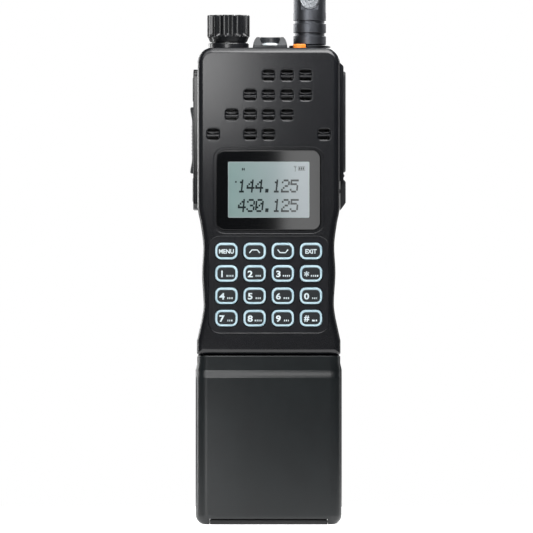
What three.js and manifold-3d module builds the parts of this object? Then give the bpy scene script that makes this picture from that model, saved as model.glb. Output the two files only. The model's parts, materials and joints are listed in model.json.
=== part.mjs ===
// Handheld dual-band transceiver: casing halves, keypad, display, side keys, jack cover, volume knob,
// folding blade antenna, torch, battery pack and belt clip.
// Millimetres, +Z up, front face towards -Y, origin at the centre of the battery's underside.
import * as THREE from "three";
import { mergeVertices } from "three/addons/utils/BufferGeometryUtils.js";
import Module from "manifold-3d";

const wasm = await Module();
wasm.setup();

// ---- driving dimensions ----
const gap = 0.3; // clearance between pieces that seat on each other
const far = 60; // reach of a cutter past what it cuts

const cell = { radius: 9.15, length: 65, rows: 2, columns: 3, strip: 0.3, stripReach: 4 };
const pack = {
  proud: 0.95, // how far it stands out past the casing's sides
  deeper: 2, // the same at the front and at the back
  wall: 2.5,
  slack: 1, // least room between the wall and the cells
  headroom: 13.55, // from the cells' top to the pack's top
  edge: 6, // radius of the upright edges
  heel: 4.8, // radius of the lower corners seen from the front
  sole: 1.4, // the same seen from the side
  neckInset: 0.75, // how far the neck is narrower, each side
  neckSet: 1.7, // how far it is shallower, front and back
  shoulderDrop: 7.2, // from the pack's top to the shoulder's lower edge
  neckDrop: 3.7, // the same to its upper edge
  neckChamfer: 0.5,
  floor: 2.5,
  lidThick: 3,
  footWidth: 58.8,
  footThick: 2.5,
};

const casing = {
  cheek: 5.725, // from the keypad's panel to the casing's side
  depth: 40,
  height: 153.75,
  wall: 3,
  corner: 7.5,
  edge: 3.2, // rounding of the front and back edges
  split: 10.5, // where the rear half meets the front half, behind the side keys
};
// Side outline of the casing: height above its foot, and how far it lies inside the full half width.
const sideStations = [
  [7.25, -0.3],
  [15, 1.4],
  [20, 2.4],
  [26.5, 3],
  [41, 2.2],
  [54.5, 2.8],
  [65, 1.6],
  [70, 0.6],
  [73.5, 0],
];
const seal = { width: 0.9, thick: 1 };
const screw = { headRadius: 2.5, headThick: 1.4, shankRadius: 1.25, length: 22, postRadius: 2.7 };
const screwInset = { x: 6.6, z: 7.8 }; // from the casing's side and foot

const lens = { width: 51.9, height: 39.8, corner: 4, thick: 1.3, sink: 0.5 };
const lensLip = { border: 1.65, corner: 6, depth: 0.5 };
const display = { width: 47, height: 35, corner: 0.6, thick: 1.8, centre: 82.4 };
const displayFrame = { border: 3, depth: 3.1, ledge: 4 };
const lensWindow = { width: 44, height: 32, corner: 1 };

const key = {
  width: 11.15,
  height: 8.2,
  corner: 3,
  spaceX: 2.95, // between one key and the next
  spaceZ: 2.97,
  proud: 1, // above the keypad's floor
  travel: 0.8,
  flange: 0.9,
  flangeThick: 0.8,
};
const keypad = { margin: 3.15, corner: 5.5, depth: 0.6, centre: 35.2 };
const keypadMat = { inset: { x: 0.5, z: 1 }, corner: 3, thick: 1.3, clear: 0.2 };
const keyNames = [
  ["key_menu", "key_up", "key_down", "key_exit"],
  ["key_1", "key_2", "key_3", "key_star"],
  ["key_4", "key_5", "key_6", "key_0"],
  ["key_7", "key_8", "key_9", "key_hash"],
];

const port = { width: 7, height: 6.7, corner: 1.5, depth: 1.5, pitchX: 9.25, pitchZ: 9.85, topRow: 13.85 };
const portSlot = { width: 5.2, height: 1.5, offset: 1.75 };
// Columns of the sound ports in each row, counted from the centre line.
const portRows = [
  [0, 1, 2],
  [-1, 0, 1, 2],
  [-2, -1, 0, 1],
  [-3, -1, 0, 3],
];
const speaker = { radius: 17.5, magnet: 10.5, depth: 7, below: 28.7, meshThick: 0.5 };
const microphone = { radius: 3, depth: 4 };

const board = { clearX: 0.6, thick: 1.6, low: 12.5, clear: 1 };
const shield = { width: 50, height: 66, depth: 4, wall: 0.5, centre: 50 };
const chassis = { inset: 0.5, thick: 2, rim: 2.2, depth: 5.5 };

const sideFrame = { width: 24, thick: 2.25, corner: 4, bevel: 0.6, top: 10.75, height: 70.5 };
const sideKey = { width: 13, chamfer: 0.8 };
const ptt = { top: 29.65, height: 33.1, proud: 1.65, dish: 1.1, travel: 1.2 };
const upperKey = { top: 14.5, height: 12.5, proud: 0.35, travel: 0.8 };
const lowerKey = { top: 64.9, height: 12.5, proud: 0.35, travel: 0.8 };
const plunger = { flange: 0.9, thick: 1 };

const cover = { width: 20, thick: 2.7, corner: 3, bevel: 0.7, top: 11.75, height: 50.5 };
const coverHinge = { radius: 1.05, below: 1.75, inset: 2, web: 0.63 };
const anchor = { height: 12, slope: 3.6, gap: 3.5, chamfer: 1.3, screwRadius: 2.6, screwThick: 0.9 };
const jack = { width: 11, height: 25, depth: 5.5, below: 23, bigRadius: 1.8, smallRadius: 1.3, pitch: 11 };

const knob = {
  radius: 10.65,
  height: 13.5,
  skirt: 3,
  taper: 1.6,
  flutes: 14,
  fluteDepth: 1.25,
  land: 0.28, // half of a land between two flutes, as a share of their spacing
  bevel: 0.4,
  x: -20.2,
  wall: 3.2,
  recess: 4.5,
  roof: 2,
};
const knobSeat = { radius: 10.2, height: 2.7, gap: 0.5 };
const volume = { width: 12, depth: 11, height: 8, bush: 3.2, bushReach: 2.8, shaft: 2, drop: 7 };
const volumeNut = { radius: 5.4, thick: 2.2 };

const connector = { radius: 4.4, flange: 10.4, flangeThick: 1.1, reach: 11, drop: 8 };
const aerial = {
  x: 20.6,
  y: 2,
  radius: 8.2,
  foot: 1.75, // above the casing top
  height: 31,
  groove: 0.8,
  pivot: 24.75, // height of the pivot above the casing top
  rivetHead: 5,
  rivetThick: 0.8,
  rivetShank: 2.2,
  flat: 1.2,
  chamfer: 2,
};
const blade = { width: 12, tipWidth: 9, thick: 2.2, length: 172, play: 0.35, under: 0.8 };
const grooves = [
  [4.5, 6.5],
  [10.5, 12.55],
];

const torch = { x: 0.7, width: 17.3, crown: 13.2, height: 5.65, depth: 17, corner: 2.2, bulge: 0.4 };
const torchSlope = { lip: 1.5, rise: 0.6, run: 4.5 };
const torchLens = { radius: 4.7, rise: 1.2, rim: 0.3, well: 0.8, throat: 2.4 };
const torchHole = { width: 9.3, depth: 6 };
const alarm = { x: 15.4, y: -11, radius: 3.25, proud: 2.15, travel: 0.8, flange: 0.8, stem: 6 };

const clip = { width: 24, thick: 1.8, beltGap: 7.4, tab: 15, reach: 68, lip: 5, pin: 24.5, tipGap: 0.8 };
const clipBend = { start: 14, curve: 6, tip: 1 };
const hinge = { pin: 1.25, pinEnd: 0.6, set: 2.5, knuckle: 2.9, ear: 1.6, spring: 4.6 };
const clipPlate = { thick: 1.4, height: 27, above: 8 };
const coil = { wire: 0.4, slack: 0.2, turns: 4 };

const latch = { width: 18, height: 14, top: 3.6, proud: 1, travel: 3, arm: 2, armEnd: 1 };
const latchTooth = { width: 10, thick: 2, clear: 0.4, below: 0.6 };
const latchRibs = { count: 4, first: 2, pitch: 2.8, height: 1.2, depth: 0.6 };
const contact = { radius: 1.1, pitch: 8, y: -6, pad: 5, padThick: 0.6, length: 9 };

// ---- places worked out from them ----
const keyPitchX = key.width + key.spaceX;
const keyPitchZ = key.height + key.spaceZ;
const keypadWidth = 3 * keyPitchX + key.width + 2 * keypad.margin;
const keypadHeight = 3 * keyPitchZ + key.height + 2 * keypad.margin;
const casingWidth = keypadWidth + 2 * casing.cheek;
const cellPitch = 2 * cell.radius + gap;
const cellsWidth = cell.columns * cellPitch - gap;
const cellsDepth = cell.rows * cellPitch - gap;
const packWidth = Math.max(casingWidth + 2 * pack.proud, cellsWidth + 2 * (pack.wall + pack.slack));
const packDepth = Math.max(casing.depth + 2 * pack.deeper, cellsDepth + 2 * (pack.wall + pack.slack));
const packFloor = pack.footThick + gap + pack.floor;
const cellTop = packFloor + gap + cell.length;
const packHeight = cellTop + cell.strip + pack.headroom;
const shoulderLow = packHeight - pack.shoulderDrop;
const shoulderHigh = packHeight - pack.neckDrop;
const footZ = packHeight + gap;
const topZ = footZ + casing.height;
const faceY = -casing.depth / 2;
const backY = casing.depth / 2;
const innerY = faceY + casing.wall;
const innerX = casingWidth / 2 - casing.wall;
const waist = Math.max(...sideStations.map(([, inside]) => inside));
const boardHalf = innerX - waist - board.clearX;
const lcdZ = footZ + display.centre;
const padZ = footZ + keypad.centre;
const padFloorY = faceY + keypad.depth;
const keyBackY = innerY + gap + key.flangeThick;
const matY = keyBackY + key.travel + keypadMat.clear;
const boardY = matY + keypadMat.thick + gap;
const shieldY = boardY + board.thick + gap;
const chassisY = shieldY + shield.depth + gap;
const pivotZ = topZ + aerial.pivot;

// ---- shapes and solids ----
const solidOf = (geometry) => {
  const bare = geometry.clone();
  bare.deleteAttribute("normal");
  bare.deleteAttribute("uv");
  const merged = mergeVertices(bare, 1e-4);
  return new wasm.Manifold(
    new wasm.Mesh({
      numProp: 3,
      vertProperties: new Float32Array(merged.attributes.position.array),
      triVerts: new Uint32Array(merged.index.array),
    }),
  );
};
const geometryOf = (solid) => {
  const mesh = solid.getMesh();
  const geometry = new THREE.BufferGeometry();
  geometry.setAttribute("position", new THREE.BufferAttribute(mesh.vertProperties, 3));
  geometry.setIndex(new THREE.BufferAttribute(mesh.triVerts, 1));
  geometry.computeVertexNormals();
  return geometry;
};

const rounded = (width, height, radius, x = 0, y = 0) => {
  const [w, h] = [width / 2, height / 2];
  const shape = new THREE.Shape();
  shape.moveTo(x - w + radius, y - h);
  shape.lineTo(x + w - radius, y - h);
  shape.absarc(x + w - radius, y - h + radius, radius, -Math.PI / 2, 0);
  shape.lineTo(x + w, y + h - radius);
  shape.absarc(x + w - radius, y + h - radius, radius, 0, Math.PI / 2);
  shape.lineTo(x - w + radius, y + h);
  shape.absarc(x - w + radius, y + h - radius, radius, Math.PI / 2, Math.PI);
  shape.lineTo(x - w, y - h + radius);
  shape.absarc(x - w + radius, y - h + radius, radius, Math.PI, 1.5 * Math.PI);
  return shape;
};
const polygon = (points) => new THREE.Shape(points.map(([x, y]) => new THREE.Vector2(x, y)));

// Extrudes a shape along one axis: a front-view shape along Y, a side-view one along X, a plan along Z.
const turns = {
  x: new THREE.Matrix4().makeBasis(
    new THREE.Vector3(0, 1, 0),
    new THREE.Vector3(0, 0, 1),
    new THREE.Vector3(1, 0, 0),
  ),
  y: new THREE.Matrix4().makeBasis(
    new THREE.Vector3(1, 0, 0),
    new THREE.Vector3(0, 0, 1),
    new THREE.Vector3(0, -1, 0),
  ),
  z: new THREE.Matrix4(),
};
const extrude = (axis, shape, from, to, bevel = 0, curveSegments = 2) => {
  const geometry = new THREE.ExtrudeGeometry(shape, {
    depth: to - from - 2 * bevel,
    curveSegments,
    bevelEnabled: bevel > 0,
    bevelThickness: bevel,
    bevelSize: bevel,
    bevelOffset: -bevel,
    bevelSegments: 2,
  });
  const lift = axis === "y" ? bevel - to : from + bevel;
  geometry.translate(0, 0, lift);
  geometry.applyMatrix4(turns[axis]);
  return solidOf(geometry);
};
const box = (x0, x1, y0, y1, z0, z1) => {
  const geometry = new THREE.BoxGeometry(x1 - x0, y1 - y0, z1 - z0);
  geometry.translate((x0 + x1) / 2, (y0 + y1) / 2, (z0 + z1) / 2);
  return solidOf(geometry);
};
// A cylinder along an axis; centre gives its two other coordinates in X, Y, Z order.
const rod = (axis, radius, from, to, centre, sides = 24) => {
  const geometry = new THREE.CylinderGeometry(radius, radius, to - from, sides);
  const middle = (from + to) / 2;
  if (axis === "x") geometry.rotateZ(-Math.PI / 2).translate(middle, centre[0], centre[1]);
  if (axis === "y") geometry.translate(centre[0], middle, centre[1]);
  if (axis === "z") geometry.rotateX(Math.PI / 2).translate(centre[0], centre[1], middle);
  return solidOf(geometry);
};
// A turned piece about an upright axis, from its (radius, height) profile.
const turned = (profile, x, y, sides = 24) => {
  const points = profile.map(([r, z]) => new THREE.Vector2(r, z));
  const geometry = new THREE.LatheGeometry(points, sides);
  geometry.rotateX(Math.PI / 2).translate(x, y, 0);
  return solidOf(geometry);
};
const union = (solids) => solids.reduce((whole, next) => whole.add(next));
const cut = (solid, cutters) => cutters.reduce((whole, next) => whole.subtract(next), solid);

const radio = new THREE.Group();
const finishes = {
  casing: { color: 0x2a2c2f, roughness: 0.45, metalness: 0 },
  packShell: { color: 0x34373a, roughness: 0.5, metalness: 0 },
  darkRubber: { color: 0x1b1c1e, roughness: 0.8, metalness: 0 },
  key: { color: 0x22282c, roughness: 0.5, metalness: 0 },
  lens: { color: 0x0b0c0e, roughness: 0.08, metalness: 0 },
  liquidCrystal: { color: 0xafbbb8, roughness: 0.3, metalness: 0 },
  innerPlastic: { color: 0xd8d8d2, roughness: 0.6, metalness: 0 },
  circuit: { color: 0x1f5a3a, roughness: 0.5, metalness: 0 },
  tinned: { color: 0xb9bcc0, roughness: 0.35, metalness: 1 },
  cast: { color: 0x9a9da1, roughness: 0.55, metalness: 1 },
  steel: { color: 0xa4a7ab, roughness: 0.3, metalness: 1 },
  brass: { color: 0xc9a24a, roughness: 0.3, metalness: 1 },
  anodised: { color: 0x26272a, roughness: 0.35, metalness: 1 },
  orange: { color: 0xf08a2c, roughness: 0.5, metalness: 0 },
  clear: { color: 0xdfe6ea, roughness: 0.08, metalness: 0 },
  cellWrap: { color: 0x2d63a8, roughness: 0.4, metalness: 0 },
  cloth: { color: 0x18191b, roughness: 0.95, metalness: 0 },
};
const addPart = (name, solid, finish) => {
  const material = new THREE.MeshStandardMaterial(finishes[finish]);
  const mesh = new THREE.Mesh(geometryOf(solid), material);
  mesh.name = name;
  radio.add(mesh);
};

// ---- casing ----
// The casing seen from the front, drawn inside its true outline by inset.
const casingShape = (inset) => {
  const half = casingWidth / 2 - inset;
  const side = sideStations.map(([rise, inside]) => new THREE.Vector2(half - inside, footZ + rise));
  const mirrored = side.map((p) => new THREE.Vector2(-p.x, p.y)).reverse();
  const radius = casing.corner - inset;
  const foot = side[0].x;
  const shape = new THREE.Shape();
  shape.moveTo(-foot, footZ + inset);
  shape.lineTo(foot, footZ + inset);
  shape.lineTo(foot, side[0].y);
  shape.splineThru(side.slice(1));
  shape.lineTo(half, topZ - casing.corner);
  shape.absarc(half - radius, topZ - casing.corner, radius, 0, Math.PI / 2);
  shape.lineTo(radius - half, topZ - inset);
  shape.absarc(radius - half, topZ - casing.corner, radius, Math.PI / 2, Math.PI);
  shape.lineTo(-half, mirrored[0].y);
  shape.splineThru(mirrored.slice(1));
  return shape;
};

const screwPlaces = {
  case_screw_left: [screwInset.x - casingWidth / 2, footZ + screwInset.z],
  case_screw_right: [casingWidth / 2 - screwInset.x, footZ + screwInset.z],
};
const keyPlaces = keyNames.flatMap((names, row) =>
  names.map((name, column) => ({
    name,
    x: (column - 1.5) * keyPitchX,
    z: padZ + (1.5 - row) * keyPitchZ,
  })),
);
const portPlaces = portRows.flatMap((columns, row) =>
  columns.map((column) => [column * port.pitchX, topZ - port.topRow - row * port.pitchZ]),
);
const sideKeys = { ptt_bar: ptt, upper_side_key: upperKey, lower_side_key: lowerKey };
const jackZ = topZ - jack.below - jack.height / 2;
// The windows that the side keys go through, in a box from the casing's outside to x.
const sideWindows = (x) =>
  Object.values(sideKeys).map((k) =>
    box(
      -far,
      x,
      -sideKey.width / 2 - gap,
      sideKey.width / 2 + gap,
      topZ - k.top - k.height - gap,
      topZ - k.top + gap,
    ),
  );

const buildCasing = () => {
  const outer = extrude("y", casingShape(0), faceY, backY, casing.edge).add(
    rod("z", knobSeat.radius, topZ - casing.wall, topZ + knobSeat.height, [knob.x, 0], 36),
  );
  const cavity = extrude("y", casingShape(casing.wall), innerY, -innerY);
  const places = Object.values(screwPlaces);
  const posts = places.map((place) => rod("y", screw.postRadius, innerY - 1, 1 - innerY, place, 16));
  const screwEnd = backY - screw.length;
  const screwHoles = places.map((place) =>
    rod("y", screw.shankRadius + gap, screwEnd - 1, backY + 1, place, 12),
  );
  const headWells = places.map((place) =>
    rod("y", screw.headRadius + gap, backY - screw.headThick - 2 * gap, backY + 1, place, 20),
  );
  const [jackY, jackRise] = [jack.width / 2 + gap, jack.height / 2 + gap];
  const openings = [
    ...screwHoles,
    ...headWells,
    ...sideWindows(-innerX + 1),
    box(innerX - 1, far, -jackY, jackY, jackZ - jackRise, jackZ + jackRise),
    rod("z", volume.bush + gap, topZ - 10, topZ + far, [knob.x, 0]),
    rod("z", connector.radius + gap, topZ - 10, topZ + far, [aerial.x, aerial.y]),
    rod("z", alarm.radius + gap, topZ - 10, topZ + far, [alarm.x, alarm.y]),
    box(
      torch.x - torchHole.width / 2,
      torch.x + torchHole.width / 2,
      -torchHole.depth / 2,
      torchHole.depth / 2,
      topZ - 10,
      topZ + 1,
    ),
  ];
  const tooth = box(
    -latchTooth.width / 2 - 2 * gap,
    latchTooth.width / 2 + 2 * gap,
    toothY - 2 * gap,
    toothY + latchTooth.thick + 2 * gap,
    footZ - 1,
    footZ + casing.wall + 1,
  );
  const pinHoles = [-1, 0, 1].map((i) =>
    rod("z", contact.radius + gap, footZ - 1, footZ + casing.wall + 1, [i * contact.pitch, contact.y], 12),
  );
  const lensCut = extrude(
    "y",
    rounded(lens.width + 2 * gap, lens.height + 2 * gap, lens.corner + gap, 0, lcdZ),
    faceY - 1,
    faceY + lens.sink + lens.thick + gap,
  );
  const lip = extrude(
    "y",
    rounded(lens.width + 2 * lensLip.border, lens.height + 2 * lensLip.border, lensLip.corner, 0, lcdZ),
    faceY - 1,
    faceY + lensLip.depth,
  );
  const window = extrude(
    "y",
    rounded(lensWindow.width, lensWindow.height, lensWindow.corner, 0, lcdZ),
    faceY - 1,
    innerY + 1,
  );
  const padCut = extrude(
    "y",
    rounded(keypadWidth, keypadHeight, keypad.corner, 0, padZ),
    faceY - 1,
    padFloorY,
  );
  const keyHoles = keyPlaces.map(({ x, z }) =>
    extrude(
      "y",
      rounded(key.width + 2 * gap, key.height + 2 * gap, key.corner + gap, x, z),
      faceY - 1,
      innerY + 1,
      0,
      1,
    ),
  );
  const ports = portPlaces.flatMap(([x, z]) => [
    extrude("y", rounded(port.width, port.height, port.corner, x, z), faceY - 1, faceY + port.depth, 0, 1),
    ...[-1, 1].map((side) =>
      box(
        x - portSlot.width / 2,
        x + portSlot.width / 2,
        faceY,
        innerY + 1,
        z + side * portSlot.offset - portSlot.height / 2,
        z + side * portSlot.offset + portSlot.height / 2,
      ),
    ),
  ]);
  const sealInset = (casing.wall - seal.width) / 2 - gap;
  const ring = (inset, width, thick) =>
    extrude("y", casingShape(inset), casing.split - thick / 2, casing.split + thick / 2).subtract(
      extrude("y", casingShape(inset + width), casing.split - thick, casing.split + thick),
    );
  const sealGroove = ring(sealInset, seal.width + 2 * gap, seal.thick + 2 * gap);
  const whole = cut(outer.subtract(cavity).add(union(posts).intersect(cavity)), [...openings, sealGroove]);
  const halves = [
    box(-far, far, -far, casing.split - gap / 2, footZ - 1, topZ + far),
    box(-far, far, casing.split + gap / 2, far, footZ - 1, topZ + far),
  ];
  const front = cut(whole.intersect(halves[0]), [
    lip,
    lensCut,
    window,
    padCut,
    ...keyHoles,
    ...ports,
    ...pinHoles,
  ]);
  const rear = cut(whole.intersect(halves[1]), [tooth]);
  addPart("front_case", front, "casing");
  addPart("rear_case", rear, "casing");
  addPart("case_seal", ring(sealInset + gap, seal.width, seal.thick), "darkRubber");
  for (const [name, place] of Object.entries(screwPlaces)) {
    const head = rod("y", screw.headRadius, backY - screw.headThick - gap, backY - gap, place, 20);
    addPart(name, head.add(rod("y", screw.shankRadius, screwEnd, backY - gap - 0.5, place, 12)), "steel");
  }
};

// ---- display ----
const buildDisplay = () => {
  const lensY = faceY + lens.sink;
  addPart(
    "lcd_lens",
    extrude("y", rounded(lens.width, lens.height, lens.corner, 0, lcdZ), lensY, lensY + lens.thick),
    "lens",
  );
  const panelY = innerY + gap;
  const panelShape = (grow) =>
    rounded(display.width + grow, display.height + grow, display.corner, 0, lcdZ);
  addPart("lcd_panel", extrude("y", panelShape(0), panelY, panelY + display.thick), "liquidCrystal");
  const frameBack = panelY + displayFrame.depth;
  const frame = cut(extrude("y", panelShape(2 * displayFrame.border), panelY, frameBack), [
    extrude("y", panelShape(2 * gap), panelY - 1, panelY + display.thick + gap),
    extrude("y", panelShape(-2 * displayFrame.ledge), panelY - 1, frameBack + 1),
  ]);
  addPart("lcd_frame", frame, "innerPlastic");
};

// ---- keypad ----
const buildKeypad = () => {
  for (const { name, x, z } of keyPlaces) {
    const cap = extrude(
      "y",
      rounded(key.width, key.height, key.corner, x, z),
      padFloorY - key.proud,
      keyBackY,
      0,
      1,
    );
    const flangeShape = rounded(key.width + 2 * key.flange, key.height + 2 * key.flange, key.corner, x, z);
    addPart(name, cap.add(extrude("y", flangeShape, innerY + gap, keyBackY, 0, 1)), "key");
  }
  const mat = rounded(
    keypadWidth - 2 * keypadMat.inset.x,
    keypadHeight - 2 * keypadMat.inset.z,
    keypadMat.corner,
    0,
    padZ,
  );
  addPart("keypad_mat", extrude("y", mat, matY, matY + keypadMat.thick), "darkRubber");
};

// ---- loudspeaker and microphone ----
const buildSound = () => {
  const centre = [0, topZ - speaker.below];
  const meshY = innerY + gap;
  const frontY = meshY + speaker.meshThick + gap;
  addPart("speaker_mesh", rod("y", speaker.radius, meshY, meshY + speaker.meshThick, centre, 32), "cloth");
  const driver = rod("y", speaker.radius, frontY, frontY + speaker.depth / 2, centre, 32).add(
    rod("y", speaker.magnet, frontY, frontY + speaker.depth, centre, 24),
  );
  addPart("speaker", driver, "cast");
  const [micX, micZ] = portPlaces[portPlaces.length - 4];
  const capsule = rod("y", microphone.radius, meshY, meshY + microphone.depth, [micX, micZ], 20);
  addPart("microphone", capsule, "steel");
};

// ---- circuit board, screening can and chassis ----
const buildElectronics = () => {
  const low = footZ + board.low;
  const high = topZ - speaker.below - speaker.radius - board.clear;
  addPart(
    "main_board",
    box(-boardHalf, boardHalf, boardY, boardY + board.thick, low, high),
    "circuit",
  );
  const can = (inset, back) =>
    box(
      -shield.width / 2 + inset,
      shield.width / 2 - inset,
      shieldY - (inset > 0 ? 1 : 0),
      back,
      footZ + shield.centre - shield.height / 2 + inset,
      footZ + shield.centre + shield.height / 2 - inset,
    );
  const outside = can(0, shieldY + shield.depth);
  addPart("rf_shield", outside.subtract(can(shield.wall, shieldY + shield.depth - shield.wall)), "tinned");
  const half = boardHalf - chassis.inset;
  const plate = box(-half, half, chassisY, chassisY + chassis.depth, low, high);
  const hollow = box(
    -half + chassis.rim,
    half - chassis.rim,
    chassisY + chassis.thick,
    chassisY + chassis.depth + 1,
    low + chassis.rim,
    high - chassis.rim,
  );
  addPart("chassis", plate.subtract(hollow), "cast");
};

// ---- push-to-talk bar and side keys, on the left ----
const buildSideKeys = () => {
  const seatX = -casingWidth / 2 - gap;
  const outerX = -casingWidth / 2 - sideFrame.thick;
  const frameZ = topZ - sideFrame.top - sideFrame.height / 2;
  const plate = extrude(
    "x",
    rounded(sideFrame.width, sideFrame.height, sideFrame.corner, 0, frameZ),
    outerX,
    seatX,
    sideFrame.bevel,
  );
  addPart("side_key_frame", cut(plate, sideWindows(0)), "casing");
  for (const [name, k] of Object.entries(sideKeys)) {
    const [low, high] = [topZ - k.top - k.height, topZ - k.top];
    const tip = outerX - k.proud;
    const dip = outerX - k.proud + 2 * (k.dish ?? 0);
    const profile = new THREE.Shape();
    profile.moveTo(-innerX + gap, low);
    profile.lineTo(-innerX + gap, high);
    profile.lineTo(tip + sideKey.chamfer, high);
    profile.lineTo(tip, high - sideKey.chamfer);
    profile.quadraticCurveTo(dip, (low + high) / 2, tip, low + sideKey.chamfer);
    profile.lineTo(tip + sideKey.chamfer, low);
    const cap = extrude("y", profile, -sideKey.width / 2, sideKey.width / 2, 0, 5);
    const flange = box(
      -innerX + gap,
      -innerX + gap + plunger.thick,
      -sideKey.width / 2 - plunger.flange,
      sideKey.width / 2 + plunger.flange,
      low - plunger.flange,
      high + plunger.flange,
    );
    addPart(name, cap.add(flange), "darkRubber");
  }
};

// ---- jack cover, on the right ----
const buildJacks = () => {
  const seatX = casingWidth / 2 + gap;
  const outerX = casingWidth / 2 + gap + cover.thick;
  const coverLow = topZ - cover.top - cover.height;
  const axisZ = coverLow - coverHinge.below;
  const axisX = seatX + coverHinge.radius;
  const flap = extrude(
    "x",
    rounded(cover.width, cover.height, cover.corner, 0, coverLow + cover.height / 2),
    seatX,
    outerX,
    cover.bevel,
  );
  const barrelHalf = cover.width / 2 - coverHinge.inset;
  const web = box(
    seatX,
    axisX + coverHinge.web,
    -barrelHalf,
    barrelHalf,
    axisZ,
    coverLow + 2,
  );
  const barrel = rod("y", coverHinge.radius, -barrelHalf, barrelHalf, [axisX, axisZ], 16);
  addPart("jack_cover", union([flap, web, barrel]), "darkRubber");

  const anchorTop = coverLow - anchor.gap;
  const anchorLow = anchorTop - anchor.height;
  const profile = polygon([
    [seatX, anchorLow - anchor.slope],
    [outerX, anchorLow],
    [outerX, anchorTop - anchor.chamfer],
    [outerX - anchor.chamfer, anchorTop],
    [seatX, anchorTop],
  ]);
  const screwZ = anchorTop - anchor.height / 2;
  const screwHeadX = outerX - 0.1 - anchor.screwThick;
  const block = cut(extrude("y", profile, -cover.width / 2, cover.width / 2), [
    rod("x", anchor.screwRadius + gap, screwHeadX - gap, outerX + 1, [0, screwZ], 20),
    rod("x", screw.shankRadius + gap, seatX - 1, outerX + 1, [0, screwZ], 12),
  ]);
  addPart("cover_anchor", block, "darkRubber");
  const fixing = rod("x", anchor.screwRadius, screwHeadX, outerX - 0.1, [0, screwZ], 20).add(
    rod("x", screw.shankRadius, seatX - gap + 0.1, outerX - 0.5, [0, screwZ], 12),
  );
  addPart("cover_screw", fixing, "steel");

  const blockX = casingWidth / 2 - gap;
  const sockets = [
    rod("x", jack.bigRadius, blockX - jack.depth + 1, blockX + 1, [0, jackZ + jack.pitch / 2], 16),
    rod("x", jack.smallRadius, blockX - jack.depth + 1, blockX + 1, [0, jackZ - jack.pitch / 2], 16),
  ];
  const jackBody = box(
    blockX - jack.depth,
    blockX,
    -jack.width / 2,
    jack.width / 2,
    jackZ - jack.height / 2,
    jackZ + jack.height / 2,
  );
  addPart("jack_block", cut(jackBody, sockets), "innerPlastic");
};

// ---- volume control ----
const flutedShape = (radius) => {
  const shape = new THREE.Shape();
  const step = (2 * Math.PI) / knob.flutes;
  const at = (r, a) => [knob.x + r * Math.cos(a), r * Math.sin(a)];
  shape.moveTo(...at(radius, -knob.land * step));
  for (let i = 0; i < knob.flutes; i += 1) {
    const a = i * step;
    shape.lineTo(...at(radius, a + knob.land * step));
    shape.quadraticCurveTo(
      ...at(radius - 2 * knob.fluteDepth, a + 0.5 * step),
      ...at(radius, a + (1 - knob.land) * step),
    );
  }
  return shape;
};
const buildVolume = () => {
  const seatTop = topZ + knobSeat.height;
  const low = seatTop + knobSeat.gap;
  const high = low + knob.height;
  const body = extrude("z", flutedShape(knob.radius), low + knob.skirt, high, knob.bevel, 1);
  const skirt = turned(
    [
      [0, low],
      [knob.radius - knob.taper, low],
      [knob.radius, low + 0.6 * knob.skirt],
      [knob.radius, low + knob.skirt + knob.bevel],
      [0, low + knob.skirt + knob.bevel],
    ],
    knob.x,
    0,
    28,
  );
  const recess = rod("z", knob.radius - knob.wall, low - 1, low + knob.recess, [knob.x, 0]);
  const bore = rod("z", volume.shaft + gap, low - 1, high - knob.roof, [knob.x, 0], 16);
  addPart("volume_knob", cut(body.add(skirt), [recess, bore]), "casing");
  addPart(
    "volume_shaft",
    rod("z", volume.shaft, topZ - volume.drop, high - knob.roof - gap, [knob.x, 0], 16),
    "steel",
  );
  const bushTop = low + volume.bushReach;
  const boxTop = topZ - casing.wall - gap;
  const pot = box(
    knob.x - volume.width / 2,
    knob.x + volume.width / 2,
    -volume.depth / 2,
    volume.depth / 2,
    boxTop - volume.height,
    boxTop,
  ).add(rod("z", volume.bush, boxTop - 1, bushTop, [knob.x, 0]));
  const shaftBore = rod("z", volume.shaft + gap, topZ - volume.drop - gap, bushTop + 1, [knob.x, 0], 16);
  const nutLow = seatTop + gap;
  const nut = rod("z", volumeNut.radius, nutLow, nutLow + volumeNut.thick, [knob.x, 0], 6);
  addPart("volume_switch", pot.add(nut).subtract(shaftBore), "tinned");
};

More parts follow.
